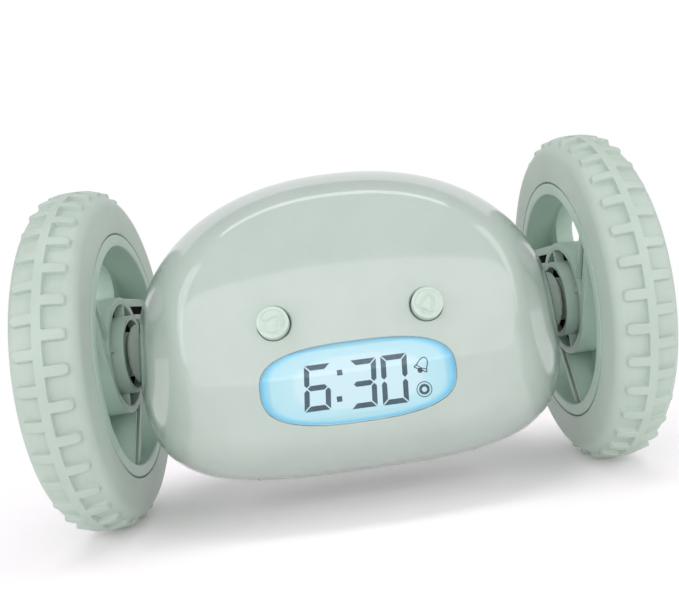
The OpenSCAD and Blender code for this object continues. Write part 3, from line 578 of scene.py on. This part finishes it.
def add_collars(shell):
    """Round collars on both sides, out of which the axles come."""
    root, end = BODY_W / 2 - COLLAR_ROOT, BODY_W / 2 + COLLAR_PROUD
    corners = [(root, COLLAR_IN), (end, COLLAR_IN), (end, COLLAR_OUT), (root, COLLAR_OUT)]
    for s in (-1, 1):
        outline = bend([(s * x, r) for x, r in corners], [0, 0.15, 0.4, 0])
        carve(shell, [lathe("tool", outline, 96)], "UNION")


def front_openings():
    window = skin_cutter(oval(WINDOW_W, WINDOW_H) + (0, WINDOW_Z), 0.45, 6)
    return [window] + [front_button_cutter(s * FRONT_BUTTON_X) for s in (-1, 1)]


def rear_openings():
    """Holes for the four buttons and the case screws, and the speaker's holes in a hexagon."""
    tools = []
    for i in range(4):
        ring = circle(REAR_BUTTON_R + BUTTON_GAP) + ((i - 1.5) * REAR_BUTTON_GAP, REAR_BUTTON_Z)
        tools.append(skin_cutter(ring, 0.3, 8, front=False))
    for place in CASE_SCREWS:
        tools.append(skin_cutter(circle(SCREW_WELL_R) + place, 0.3, 12, front=False))
    for i in range(-2, 3):
        for j in range(-2, 3):
            if abs(i + j) <= 2:
                x, z = (i + j / 2) * SOUND_HOLE_GAP, SPEAKER_Z + j * SOUND_HOLE_GAP * math.sqrt(3) / 2
                tools.append(skin_cutter(circle(SOUND_HOLE_R, 24) + (x, z), 0.2, 5, front=False))
    return tools


def make_case(whole, side):
    """The front or the rear half of the body, with its openings."""
    shell = copy_of(whole, side + "_case")
    add_collars(shell)
    low_y, high_y = (0, FAR) if side == "front" else (-FAR, 0)
    door_low, door_high = DOOR_LOW - BUTTON_GAP, DOOR_HIGH + BUTTON_GAP
    door_low[2], door_high[2] = -FAR, DOOR_EDGE_Z
    tools = [brick((-FAR, low_y, -FAR), (FAR, high_y, FAR)), seam_groove(), brick(door_low, door_high)]
    for s in (-1, 1):
        bore = [(s * 40, 0), (s * 70, 0), (s * 70, COLLAR_IN), (s * 40, COLLAR_IN)]
        tools.append(lathe("tool", bore, 96))
    tools += front_openings() if side == "front" else rear_openings()
    carve(shell, tools)
    true_normals(shell)
    finish_piece(shell, M["body"], "clock_body", [side + "_shell"])


def make_door(whole):
    door = copy_of(whole, "door_panel")
    low = DOOR_LOW.copy()
    low[2] = -FAR
    carve(door, [brick(low, DOOR_HIGH)], "INTERSECT")
    true_normals(door)
    finish_piece(door, M["body"], "door", ["battery_door"])


def make_body():
    whole = shell_solid("body_whole")
    make_case(whole, "front")
    make_case(whole, "rear")
    make_door(whole)
    bpy.data.objects.remove(whole)


make_body()


# =============================== wheels ===============================

def tread_base(u):
    """Radius of the tyre under its lugs, at a distance u from its middle."""
    return TREAD_R - CROWN_DROP * (max(abs(u) - RIB_HALF, 0) / CROWN_REACH) ** 2


def tyre_profile():
    """Half of the tyre's section as (u, radius), from the middle of the tread to the seat."""
    half = (WHEEL_OUT - WHEEL_IN) / 2
    tread = [0, 0.5, 0.85, 0.98, 1.06, 1.14, 1.22, 1.35, 1.6, 2.2, 2.9, 3.6, 4.1, 4.4, 4.6, 4.75]
    points = [(u, float(tread_base(u))) for u in tread]
    start = points[-1]
    for t in np.linspace(0, math.pi / 2, 15)[1:]:
        u = start[0] + (half - start[0]) * math.sin(t)
        r = SHOULDER_R + (start[1] - SHOULDER_R) * math.cos(t)
        points.append((u, r))
    points += [(half, 38), (half, 36), (half, 34.5), (half, 33.3), (half, SEAT_R + 0.5)]
    # a narrow groove between the tyre and the rim
    points += [(half - 0.06, SEAT_R + 0.3), (half - 0.2, SEAT_R + 0.2), (half - 0.9, SEAT_R + 0.18),
               (half - 1, SEAT_R)]
    return points


def tread_angles():
    """Angles of the tread's rows, close together at the walls of the lugs."""
    marks = [0, 0.8, 1.13, 1.21, 1.3, 1.39, 1.47, 1.7]
    offsets = sorted({s * m / WHEEL_R for m in marks for s in (-1, 1)})
    angles = []
    for i in range(LUG_COUNT):
        for k in (0, 0.5):
            angles += [(i + k) * LUG_PITCH + o for o in offsets]
            angles += [(i + k + 0.25) * LUG_PITCH]
    return np.array(sorted(angles))


def lug_distance(u, angle, phase, sign):
    """Signed distance to the outline of the nearest lug, below 0 inside."""
    t = (angle / LUG_PITCH - phase + 0.5) % 1 - 0.5
    t = abs(t * LUG_PITCH * WHEEL_R)
    qx = t - (LUG_HALF - LUG_CORNER)
    qy = abs(u * sign - (LUG_END - LUG_HIDDEN) / 2) - ((LUG_END + LUG_HIDDEN) / 2 - LUG_CORNER)
    return np.hypot(np.maximum(qx, 0), np.maximum(qy, 0)) + np.minimum(np.maximum(qx, qy), 0) - LUG_CORNER


def rise(d):
    """1 inside an edge, 0 outside it, with a rounded top and a small fillet."""
    t = np.clip((d + 0.15) / 0.3, 0, 1)
    return 1 - t * t * (3 - 2 * t)


def make_tyre():
    """The tyre with a rib round its middle and lugs that leave it to both sides in turn."""
    half = tyre_profile()
    section = np.array([(-u, r) for u, r in half[:0:-1]] + half)
    slope = np.gradient(section, axis=0)
    slope /= np.linalg.norm(slope, axis=1)[:, None]
    normal = np.stack([-slope[:, 1], slope[:, 0]], 1)
    u, angles = section[:, 0], tread_angles()
    heights = np.tile(rise(abs(u) - RIB_HALF - 0.02), (len(angles), 1))
    for phase, sign in ((0, -1), (0.5, 1)):
        heights = np.maximum(heights, rise(lug_distance(u[None, :], angles[:, None], phase, sign)))
    heights *= LUG_H
    heights[:, abs(u) > TREAD_EDGE] = 0
    r = section[:, 1] + normal[:, 1] * heights
    x = WHEEL_MID + section[:, 0] + normal[:, 0] * heights
    points = np.stack([x, r * np.cos(angles)[:, None], r * np.sin(angles)[:, None]], -1)
    faces = grid_faces(len(angles), len(section), wrap_rows=True)
    return solid("right_tread", points.reshape(-1, 3), faces, 60)


def tube(outer, inner, x0, x1, edge):
    """A tube along X between two outlines in the YZ plane, with rounded edges at x0."""
    def ring(outline, by, x):
        o = offset_outline(outline, by)
        return np.stack([np.full(len(o), x), o[:, 0], o[:, 1]], 1)
    k = edge * 0.3
    rings = [ring(outer, -edge, x0), ring(outer, -k, x0 + k), ring(outer, 0, x0 + edge), ring(outer, 0, x1),
             ring(inner, 0, x1), ring(inner, 0, x0 + edge), ring(inner, k, x0 + k), ring(inner, edge, x0)]
    return loft(rings, closed=True)


def kidney_outline(at):
    """A bent slot centred on an angle that is measured from +Z towards +Y. Points are (y, z)."""
    def spot(radius, angle):
        return radius * np.array([math.sin(angle), math.cos(angle)])
    first, last = at - PANE_SPAN / 2, at + PANE_SPAN / 2
    sweep, cap = np.linspace(first, last, 25), np.linspace(0, math.pi, 13)[1:-1]
    path = [spot(PANE_MID + PANE_HALF, a) for a in sweep]
    path += [spot(PANE_MID, last) + spot(PANE_HALF, last + t) for t in cap]
    path += [spot(PANE_MID - PANE_HALF, a) for a in sweep[::-1]]
    path += [spot(PANE_MID, first) - spot(PANE_HALF, first + t) for t in cap]
    return np.array(path)


def spoke_wall(x0, x1, wall, start, end, run):
    """A wall between two distances from the axis, that runs along an angle from +Z towards +Y."""
    near, far = wall
    return brick((x0, start, near), (x1, end, far), 0.15, math.pi / 2 - run)


def rim_outline():
    """The rim's barrel and outer disc as (x, radius), with a groove beside the tyre on both sides."""
    groove_r, seat = SEAT_R - 0.2, SEAT_R - 0.05
    groove_in, groove_out, brim = WHEEL_IN + 1, DISC_OUT - 0.4, DISC_OUT + 0.6
    corners = [(WHEEL_IN, groove_r), (WHEEL_IN, BARREL_R), (DISC_IN, BARREL_R - 0.6), (DISC_IN, 3),
               (DISC_OUT, 3), (DISC_OUT, BARREL_R - 1), (brim, BARREL_R - 0.6), (brim, groove_r),
               (groove_out, groove_r), (groove_out, seat), (groove_in, seat), (groove_in, groove_r)]
    return bend(corners, [0.3, 0.5, 0.8, 0, 0, 0.3, 0.3, 0.3, 0, 0, 0, 0])


def hub_parts():
    """The drum, the sleeve, the core round the axle, three double spokes and four ribs."""
    core_x = WHEEL_IN + 0.6
    core = [(core_x, CORE_IN), (ROOT_X, CORE_IN), (ROOT_X, CORE_OUT), (core_x, CORE_OUT)]
    parts = [tube(circle(DRUM_OUT, 144), circle(DRUM_IN, 144), DRUM_X, ROOT_X, 0.25),
             tube(circle(SLEEVE_OUT, 96), circle(SLEEVE_IN, 96), WHEEL_IN - 0.4, ROOT_X, 0.15),
             lathe("tool", bend(core, [0, 0, 0, 0.4]), 96)]
    for run in SPOKE_RUNS:
        parts.append(spoke_wall(DRUM_X + 0.05, ROOT_X, OUTER_WALL, 2, 26.2, run))
        parts.append(spoke_wall(DRUM_X + 0.05, ROOT_X, INNER_WALL, 12, 28.6, run))
    low, high = (DRUM_X + 0.15, -0.6, SLEEVE_OUT - 0.5), (ROOT_X, 0.6, DRUM_IN + 0.5)
    return parts + [brick(low, high, 0.12, -angle) for angle in RIB_ANGLES]


def make_rim():
    """The rim, with three kidney-shaped windows in its disc, a screw's hole and the cap's seat."""
    rim = lathe("right_wheel_rim", rim_outline(), 192)
    carve(rim, hub_parts(), "UNION")
    tools = []
    for i in range(3):
        outline = kidney_outline(i * 2 * math.pi / 3)
        rings = []
        for by, depth in [(0.5, -3)] + flare(0.5) + [(0, 8)]:
            o = offset_outline(outline, by)
            rings.append(np.stack([np.full(len(o), DISC_OUT - depth), o[:, 0], o[:, 1]], 1))
        tools.append(loft(rings))
    for start, r, segments in ((50, SCREW_R, 64), (CAP_IN, CAP_SEAT_R, 96)):
        tools.append(lathe("tool", [(start, 0), (80, 0), (80, r), (start, r)], segments))
    return carve(rim, tools)


def make_shade_liner():
    """Black sheets on the floors of the pockets between sleeve and drum and of the slots in the spokes:
    painted shade for hollows that are dark only from shadow.
    """
    floor_x, slot_x, well_x = WHEEL_IN + 4.2, WHEEL_IN + 2.6, WHEEL_IN + 1.9

    def band(x, low, high):
        return [(x, low), (x, high), (SHADE_LINER_ROOT_X, high), (SHADE_LINER_ROOT_X, low)]
    liner = lathe("right_hub_liner", bend(band(floor_x, SLEEVE_OUT - 0.2, DRUM_IN + 0.2), 0.2), 96)
    slots = [spoke_wall(slot_x, SHADE_LINER_ROOT_X, SPOKE_SLOT, 12.5, 26.5, run) for run in SPOKE_RUNS]
    return carve(liner, slots + [lathe("tool", band(well_x, CORE_OUT - 0.1, SLEEVE_IN + 0.1), 96)], "UNION")


def make_cap():
    seat = CAP_IN + 0.8
    corners = [(CAP_IN, 0), (CAP_IN, 9.8), (seat, 9.8), (seat, 11), (CAP_OUT - 0.45, 10.6), (CAP_OUT, 7),
               (CAP_OUT, 0)]
    return lathe("right_wheel_cap", bend(corners, [0, 0, 0, 0.2, 0.5, 3, 0]), 128)


def make_wheels():
    tread, rim, cap = make_tyre(), make_rim(), make_cap()
    pieces = ((tread, "tyre", "tyre", "_tread", ["_tyre"]), (rim, "rim", "wheel_rim", "_wheel_rim", ["_rim"]),
              (cap, "rim", "wheel_rim", "_wheel_cap", ["_hub_cap"]),
              # the black liner is painted shade in the hub's pockets, not a part of the wheel
              (make_shade_liner(), "pocket_shade", "black_plastic", "_hub_shade_liner", []))
    for piece, material, slot, ending, nodes in pieces:
        left = mirrored(piece, "left" + ending)
        for side, one in (("left", left), ("right", piece)):
            finish_piece(one, M[material], side + "_wheel", [side + n for n in nodes])


make_wheels()


# =============================== window ===============================

def display_material():
    """Glass lit by the backlight: sky blue towards the edge of the window, pale in the middle where the
    display's area carries a painted highlight, and darker blue at the very edge as painted shade from the
    body's lip.
    """
    g = Graph("display_glow")
    place = g.add("ShaderNodeSeparateXYZ")
    g.link(g.place, place.inputs[0])
    across = g.math("ABSOLUTE", g.math("DIVIDE", place.outputs[0], WINDOW_W / 2 * MM))
    # measured from a little below the window's middle, which widens the painted shade along the top edge
    up = g.math("SUBTRACT", place.outputs[2], (AXLE_Z + WINDOW_Z - 0.35) * MM)
    up = g.math("ABSOLUTE", g.math("DIVIDE", up, WINDOW_H / 2 * MM))
    total = g.math("ADD", g.math("POWER", across, OVAL_POWER), g.math("POWER", up, OVAL_POWER))
    edge = g.math("POWER", total, 1 / OVAL_POWER)
    # the pale middle stops are the display's area with a painted highlight on it; the last, darker stop is
    # painted shade cast by the body's lip
    stops = [(0.0, srgb(230, 243, 245)), (0.64, srgb(226, 242, 244)), (0.7, srgb(206, 236, 240)),
             (0.9, srgb(198, 234, 240)), (0.95, srgb(158, 222, 242)), (1.0, srgb(118, 192, 228))]
    colour = g.ramp(edge, stops)
    body = fill(g.add("ShaderNodeBsdfPrincipled"), Base_Color=srgb(60, 80, 90), Roughness=0.4,
                Emission_Strength=0.92)
    g.link(colour, body.inputs["Emission Color"])
    return g.surface(body.outputs[0])


def lens_material():
    g = Graph("lens_clear")
    body = fill(g.add("ShaderNodeBsdfPrincipled"), Base_Color=srgb(236, 249, 255), Roughness=0.03, IOR=1.45,
                Transmission_Weight=1)
    g.link(g.bump(g.noise(300, 1), 0.000002), body.inputs["Normal"])
    return g.surface(body.outputs[0])


def oval_plate(name, w, h, y_of, thickness, rings=16):
    """A plate with an oval outline whose front follows y_of(x, z)."""
    outline = oval(w, h)
    n = len(outline)
    scale = [k / rings for k in range(1, rings + 1)]
    grid = np.concatenate([outline * s for s in scale] + [np.zeros((1, 2))]) + (0, WINDOW_Z)
    y = y_of(grid[:, 0], grid[:, 1])
    points = np.concatenate([np.stack([grid[:, 0], side, grid[:, 1]], 1) for side in (y, y + thickness)])
    count = len(grid)
    faces = grid_faces(rings, n)
    faces += [(j, (j + 1) % n, count - 1) for j in range(n)]
    faces += [tuple(v + count for v in f) for f in faces]
    edge = (rings - 1) * n
    faces += [(edge + j, edge + (j + 1) % n, edge + (j + 1) % n + count, edge + j + count) for j in range(n)]
    return solid(name, points, faces, 50)


def make_window():
    def just_inside(x, z):
        return skin_y(x, z, inset=0.12)

    def flat(x, z):
        return np.full(x.shape, GLASS_FRONT_Y)
    lens = oval_plate("window_glass", WINDOW_W - 0.3, WINDOW_H - 0.3, just_inside, 1.3)
    finish_piece(lens, lens_material(), "clock_body", ["window_lens"])
    plate = oval_plate("display_plate", WINDOW_W + 1.6, WINDOW_H + 1.6, flat, 1.0, 4)
    finish_piece(plate, display_material(), "clock_body", ["lcd_glass", "window_rim"])


DIGIT_H, DIGIT_W, STROKE = 11.9, 6.05, 1.2
DIGIT_Z = -12.0
COLON_X, COLON_HALF, COLON_HEIGHTS = -4.45, 0.62, (2.75, -3.2)
BELL_AT, BELL_SIZE, BELL_LEAN = (14.95, 2.1), 1.7, -0.5
RING_AT, RINGS = (14.7, -3.6), ((1.72, 0.2), (0.92, 0.62))
# each digit's place, fall, share of the full height and slant in degrees, as the photograph draws them
DIGITS = (("6", -9.5, 0.0, 0.88, 5.9), ("3", 1.02, 0.4, 0.93, 4.6), ("0", 8.21, 0.4, 0.95, 3.7))
COLON_SLANT = math.tan(math.radians(7.3))


def bars(height):
    """The seven bars of a digit: top, upper right, lower right, bottom, lower left, upper left, middle."""
    w, h, t, k = DIGIT_W / 2, height / 2, STROKE, 0.2
    top = [(-w + k, h), (w - k, h), (w - t - k, h - t), (-w + t + k, h - t)]
    left = [(-w, h - k), (-w + t, h - t - k), (-w + t, t / 2 + k), (-w + t / 2, k), (-w, t / 2 + k)]
    middle = [(-w + t / 2 + k, 0), (-w + t + k, t / 2), (w - t - k, t / 2), (w - t / 2 - k, 0),
              (w - t - k, -t / 2), (-w + t + k, -t / 2)]

    def flip(points, x, z):
        return [(p * x, q * z) for p, q in points]
    return [top, flip(left, -1, 1), flip(left, -1, -1), flip(top, 1, -1), flip(left, 1, -1), left, middle]


LIT = {"6": (1, 0, 1, 1, 1, 1, 1), "3": (1, 1, 1, 1, 0, 0, 1), "0": (1, 1, 1, 1, 1, 1, 0)}


def stroke(path, width, closed=False):
    """Quads that follow a path at a given width."""
    path = np.array(path, float)
    n = len(path)
    along = headings(path, closed)
    side = np.stack([-along[:, 1], along[:, 0]], 1) * width / 2
    a, b = path + side, path - side
    return [[a[i], a[(i + 1) % n], b[(i + 1) % n], b[i]] for i in range(n if closed else n - 1)]


BELL = [(-1.0, -0.75), (-0.72, -0.35), (-0.62, 0.3), (-0.42, 0.78), (-0.12, 0.98), (0.12, 0.98), (0.42, 0.78),
        (0.62, 0.3), (0.72, -0.35), (1.0, -0.75)]
BRIM = [(-0.74, -0.38), (0, -0.5), (0.74, -0.38)]


def leaning(points, size, lean):
    """Points scaled by a size and turned by an angle."""
    c, s = math.cos(lean), math.sin(lean)
    return [(size * (c * x - s * y), size * (s * x + c * y)) for x, y in points]


def bell_path(size, lean):
    """A bell's outline, size being half its height."""
    return leaning(bend(BELL, 0.2, 3), size, lean)


def moved(quads, by):
    return [[(x + by[0], y + by[1]) for x, y in quad] for quad in quads]


def digit_shapes():
    """The lit bars and the colon, as flat outlines."""
    flat = []
    for text, x, fall, share, lean in DIGITS:
        slant = math.tan(math.radians(lean))
        for on, bar in zip(LIT[text], bars(DIGIT_H * share)):
            if on:
                flat.append([(x + p + q * slant, q - fall) for p, q in bar])
    k = COLON_HALF
    for z in COLON_HEIGHTS:
        x = COLON_X + z * COLON_SLANT
        flat.append([(x - k, z - k), (x + k, z - k), (x + k, z + k), (x - k, z + k)])
    return flat


def icon_shapes():
    """The bell with its clapper and the target sign to the right of the digits."""
    bell = stroke(bell_path(BELL_SIZE, BELL_LEAN), 0.26, True)
    bell += stroke(leaning(BRIM, BELL_SIZE, BELL_LEAN), 0.22)
    flat = moved(bell, BELL_AT)
    flat.append([tuple(p) for p in circle(0.6, 20) + (BELL_AT[0] - 0.68, BELL_AT[1] - 1.3)])
    for r, width in RINGS:
        flat += moved(stroke(circle(r, 40), width, True), RING_AT)
    return flat


def make_digits():
    """The display's signs, a tenth of a millimetre thick, just in front of the glass."""
    points, faces = [], []
    for outline in digit_shapes() + icon_shapes():
        start, n = len(points), len(outline)
        for gap in (0.1, 0.005):
            points += [(px, GLASS_FRONT_Y - gap, DIGIT_Z + pz) for px, pz in outline]
        faces += [tuple(range(start, start + n)), tuple(range(start + n, start + 2 * n))]
        faces += [(start + i, start + (i + 1) % n, start + n + (i + 1) % n, start + n + i) for i in range(n)]
    digits = solid("clock_digits", points, faces)
    finish_piece(digits, M["digit"], "clock_body", ["lcd_digits"])


make_window()
make_digits()


# =============================== buttons ===============================

def ridge(path, r, closed=False):
    """A thin round bead along a path of points, and its faces."""
    path = np.array(path, float)
    n, sides = len(path), 8
    angles = np.linspace(0, 2 * math.pi, sides, endpoint=False)
    rings = []
    for p, t in zip(path, headings(path, closed)):
        side = np.cross(t, (0, 0, 1))
        side /= np.linalg.norm(side)
        up = np.cross(side, t)
        rings.append([p + r * (math.cos(a) * side + math.sin(a) * up) for a in angles])
    faces = grid_faces(n, sides, wrap_rows=closed)
    if not closed:
        faces += [tuple(range(sides)), tuple(range((n - 1) * sides, n * sides))]
    return np.concatenate(rings), faces


def button(name, r, proud, deep, signs, place):
    """A round key with a rounded edge and a raised sign. Local z points out of the body."""
    outline = bend([(-deep, 0), (-deep, r + 0.9), (-deep + 1, r + 0.9), (-deep + 1, r), (proud, r - 0.05),
                    (proud, r - 0.62), (proud - 0.26, r - 0.9), (proud - 0.24, 0)],
                   [0, 0.1, 0.1, 0, 0.34, 0.12, 0.15, 0])
    angles = np.linspace(0, 2 * math.pi, 96, endpoint=False)
    rings = [[(q * math.cos(a), q * math.sin(a), x) for x, q in outline] for a in angles]
    points = np.array(rings).reshape(-1, 3)
    faces = grid_faces(96, len(outline), wrap_rows=True)
    for path, closed in signs:
        beads, bead_faces = ridge([(x, y, proud - 0.2) for x, y in path], 0.24, closed)
        faces += [tuple(v + len(points) for v in f) for f in bead_faces]
        points = np.concatenate([points, beads])
    turned = points @ np.array(place.to_3x3()).T + np.array(place.translation)
    return solid(name, turned, faces, 40)


def arc(r, start, end, n=24):
    return [(r * math.cos(a), r * math.sin(a)) for a in np.radians(np.linspace(start, end, n))]


BELL_SIGN = [(bell_path(1.95, -0.49), True),
             ([(x - 1.0, y - 1.5) for x, y in arc(0.45, 140, 330, 12)], False)]
SNOOZE_SIGN = [(arc(2.1, 190, 300), False), (arc(2.1, 325, 400), False), (arc(1.05, 290, 385, 12), False),
               ([(-2.0, 1.15), (-1.6, 0.35), (-1.0, 0.8), (-0.2, 1.15), (1.1, 1.45)], False)]
UP_SIGN = [([(-0.9, -0.5), (0, 0.6), (0.9, -0.5)], False)]
DOWN_SIGN = [([(-0.9, 0.5), (0, -0.6), (0.9, 0.5)], False)]
RING_SIGN = [(arc(1.1, 0, 345), True)]
WHEEL_SIGN = [(arc(1.3, 0, 345), True), (arc(0.5, 0, 345, 12), True)]
FRONT_KEYS = (("sleep_button", -FRONT_BUTTON_X, SNOOZE_SIGN), ("alarm_button", FRONT_BUTTON_X, BELL_SIGN))
REAR_KEYS = (("hour_button", UP_SIGN), ("minute_button", DOWN_SIGN), ("set_button", RING_SIGN),
             ("motion_button", WHEEL_SIGN))


def key_place(right, up, out, at):
    """The matrix that puts a key's own axes along three directions, at a point."""
    place = Matrix((Vector(right), Vector(up), Vector(out))).transposed().to_4x4()
    place.translation = Vector(at)
    return place


def make_buttons():
    out = (0, -math.cos(FRONT_TILT), math.sin(FRONT_TILT))
    up = (0, math.sin(FRONT_TILT), math.cos(FRONT_TILT))
    for name, x, signs in FRONT_KEYS:
        place = key_place((1, 0, 0), up, out, (x, skin_y(x, FRONT_BUTTON_Z)[0], FRONT_BUTTON_Z))
        key = button(name + "_key", FRONT_BUTTON_R, FRONT_BUTTON_PROUD, 4.2, signs, place)
        finish_piece(key, M["button"], name, [name])
    for i, (name, signs) in enumerate(REAR_KEYS):
        x = (i - 1.5) * REAR_BUTTON_GAP
        at = (x, skin_y(x, REAR_BUTTON_Z, front=False)[0], REAR_BUTTON_Z)
        place = key_place((-1, 0, 0), (0, 0, 1), (0, 1, 0), at)
        key = button(name + "_key", REAR_BUTTON_R, REAR_BUTTON_PROUD, 4.5, signs, place)
        finish_piece(key, M["button"], name, [name])


make_buttons()


# =============================== the CAD's own nodes ===============================

NODE_MATERIALS = {
    "brass": ("pinion", "bush"),
    "steel": ("motor", "axle", "wheel_screw", "case_screws", "board_screws", "contact_springs",
              "contact_plates", "crystal"),
    "dark": ("speaker", "control_chip", "capacitors", "switches"),
    "white": ("gearbox", "gearbox_cover", "idler", "drive_gear", "lcd_frame", "backlight_plate",
              "battery_tray"),
    "board": ("main_board", "rear_board"),
    "cell": ("battery_1", "battery_2", "battery_3", "battery_4"),
    "rubber": ("contact_strip",),
}


def dress_nodes():
    """Gives every node whose name ends in one of the words above its material."""
    for material, endings in NODE_MATERIALS.items():
        for name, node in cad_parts.items():
            if name.endswith(endings):
                node.data.materials.clear()
                node.data.materials.append(M[material])


dress_nodes()


# =============================== camera, floor and light ===============================

# the photograph's camera: its place from the middle of the axle in millimetres, its directions, and in
# pixels its picture size, focal length and centre
EYE = (-3.952, -199.944, 6.283)
EYE_RIGHT = (0.98978554, -0.06577462, -0.12648436)
EYE_AHEAD = (0.06864345, 0.99747058, 0.0184532)
EYE_UP = (0.12495067, -0.02694703, 0.99179695)
PICTURE_W, PICTURE_H, FOCAL = 679, 602, 725.139
CENTRE_X, CENTRE_Y = 379.587, 285.502
SENSOR = 36


def set_camera():
    """The camera at the photograph's place."""
    camera = bpy.data.cameras.new("camera")
    view = bpy.data.objects.new("camera", camera)
    bpy.context.scene.collection.objects.link(view)
    turn = Matrix((Vector(EYE_RIGHT), Vector(EYE_UP), -Vector(EYE_AHEAD))).transposed().to_4x4()
    eye = np.array([EYE[0], EYE[1], EYE[2] + AXLE_Z]) * MM
    view.matrix_world = Matrix.Translation(Vector(eye)) @ turn
    camera.sensor_width = SENSOR
    camera.lens = FOCAL / PICTURE_W * SENSOR
    camera.shift_x = -(CENTRE_X - PICTURE_W / 2) / PICTURE_W
    camera.shift_y = (CENTRE_Y - PICTURE_H / 2) / PICTURE_W
    camera.clip_start = 0.01
    camera.clip_end = 20
    bpy.context.scene.camera = view


# the floor's colour under the light, what is added for eyes and mirrors, and its own glow for the rest
FLOOR_ALBEDO, FLOOR_GAINS, FLOOR_GLOW = 0.86, (0.43, 0.35, 0.39), 0.14
FLOOR_HALF, FADE_START, FADE_END = 8, 0.06, 0.17
ROOM_STRENGTH = 0.44
MIDDLE = (0, 0, 0.045)
# each lamp's name, place, size and power, in metres and watts
LAMPS = (("top", (0, -0.12, 0.75), (0.9, 0.2), 1.3), ("front", (0, -0.85, 0.29), (2.4, 0.58), 5.4),
         ("rear", (0, 0.9, 0.5), (2.0, 0.9), 2.4), ("left", (-0.7, -0.35, 0.35), (0.35, 0.6), 0.9),
         ("right", (0.75, -0.3, 0.4), (0.35, 0.6), 0.9))


def floor_material():
    """White floor that keeps the shadow near the object and turns plain white further off."""
    g = Graph("studio_floor")
    away = g.add("ShaderNodeVectorMath", operation="LENGTH")
    g.link(g.place, away.inputs[0])
    fade = fill(g.add("ShaderNodeMapRange", interpolation_type="SMOOTHSTEP"), From_Min=FADE_START,
                From_Max=FADE_END)
    g.link(away.outputs["Value"], fade.inputs["Value"])
    path = g.add("ShaderNodeLightPath")
    seen = g.math("MAXIMUM", path.outputs["Is Camera Ray"], path.outputs["Is Glossy Ray"])
    seen = g.math("MAXIMUM", seen, path.outputs["Is Transmission Ray"])
    lit = g.add("ShaderNodeBsdfDiffuse")
    colour = g.add("ShaderNodeCombineColor")
    for socket, gain in zip(colour.inputs, FLOOR_GAINS):
        g.link(g.math("MULTIPLY_ADD", seen, gain, FLOOR_ALBEDO), socket)
    g.link(colour.outputs[0], lit.inputs["Color"])
    glow = fill(g.add("ShaderNodeEmission"), Color=(1, 1, 1, 1))
    mix = g.add("ShaderNodeMixShader")
    lift = fill(g.add("ShaderNodeEmission"), Color=(1, 0.93, 0.96, 1))
    g.link(g.math("MULTIPLY_ADD", seen, -FLOOR_GLOW, FLOOR_GLOW), lift.inputs["Strength"])
    both = g.add("ShaderNodeAddShader")
    g.link(lit.outputs[0], both.inputs[0])
    g.link(lift.outputs[0], both.inputs[1])
    g.link(g.math("MULTIPLY", fade.outputs["Result"], seen), mix.inputs["Fac"])
    g.link(both.outputs[0], mix.inputs[1])
    g.link(glow.outputs[0], mix.inputs[2])
    return g.surface(mix.outputs[0])


def lay_floor():
    mesh = bpy.data.meshes.new("floor")
    corners = [(x * FLOOR_HALF, y * FLOOR_HALF, 0) for x, y in ((-1, -1), (1, -1), (1, 1), (-1, 1))]
    mesh.from_pydata(corners, [], [(0, 1, 2, 3)])
    floor = bpy.data.objects.new("floor", mesh)
    floor.data.materials.append(floor_material())
    bpy.context.scene.collection.objects.link(floor)


def set_room():
    """A dim room that the camera sees as plain white."""
    world = bpy.data.worlds.new("studio")
    bpy.context.scene.world = world
    world.use_nodes = True
    tree = world.node_tree
    tree.nodes.clear()
    path = tree.nodes.new("ShaderNodeLightPath")
    room = fill(tree.nodes.new("ShaderNodeBackground"), Color=(0.96, 0.98, 1, 1), Strength=ROOM_STRENGTH)
    white = fill(tree.nodes.new("ShaderNodeBackground"), Color=(1, 1, 1, 1))
    mix, out = tree.nodes.new("ShaderNodeMixShader"), tree.nodes.new("ShaderNodeOutputWorld")
    tree.links.new(path.outputs["Is Camera Ray"], mix.inputs["Fac"])
    tree.links.new(room.outputs[0], mix.inputs[1])
    tree.links.new(white.outputs[0], mix.inputs[2])
    tree.links.new(mix.outputs[0], out.inputs["Surface"])


def hang_lamp(name, place, size, power):
    """A rectangular lamp that faces the clock."""
    light = bpy.data.lights.new(name, "AREA")
    light.shape = "RECTANGLE"
    light.size, light.size_y = size
    light.energy = power
    lamp = bpy.data.objects.new(name, light)
    bpy.context.scene.collection.objects.link(lamp)
    lamp.location = place
    lamp.rotation_euler = (Vector(MIDDLE) - Vector(place)).to_track_quat("-Z", "Y").to_euler()


set_camera()
lay_floor()
set_room()
for lamp_row in LAMPS:
    hang_lamp(*lamp_row)

bpy.context.scene.view_settings.view_transform = "Standard"
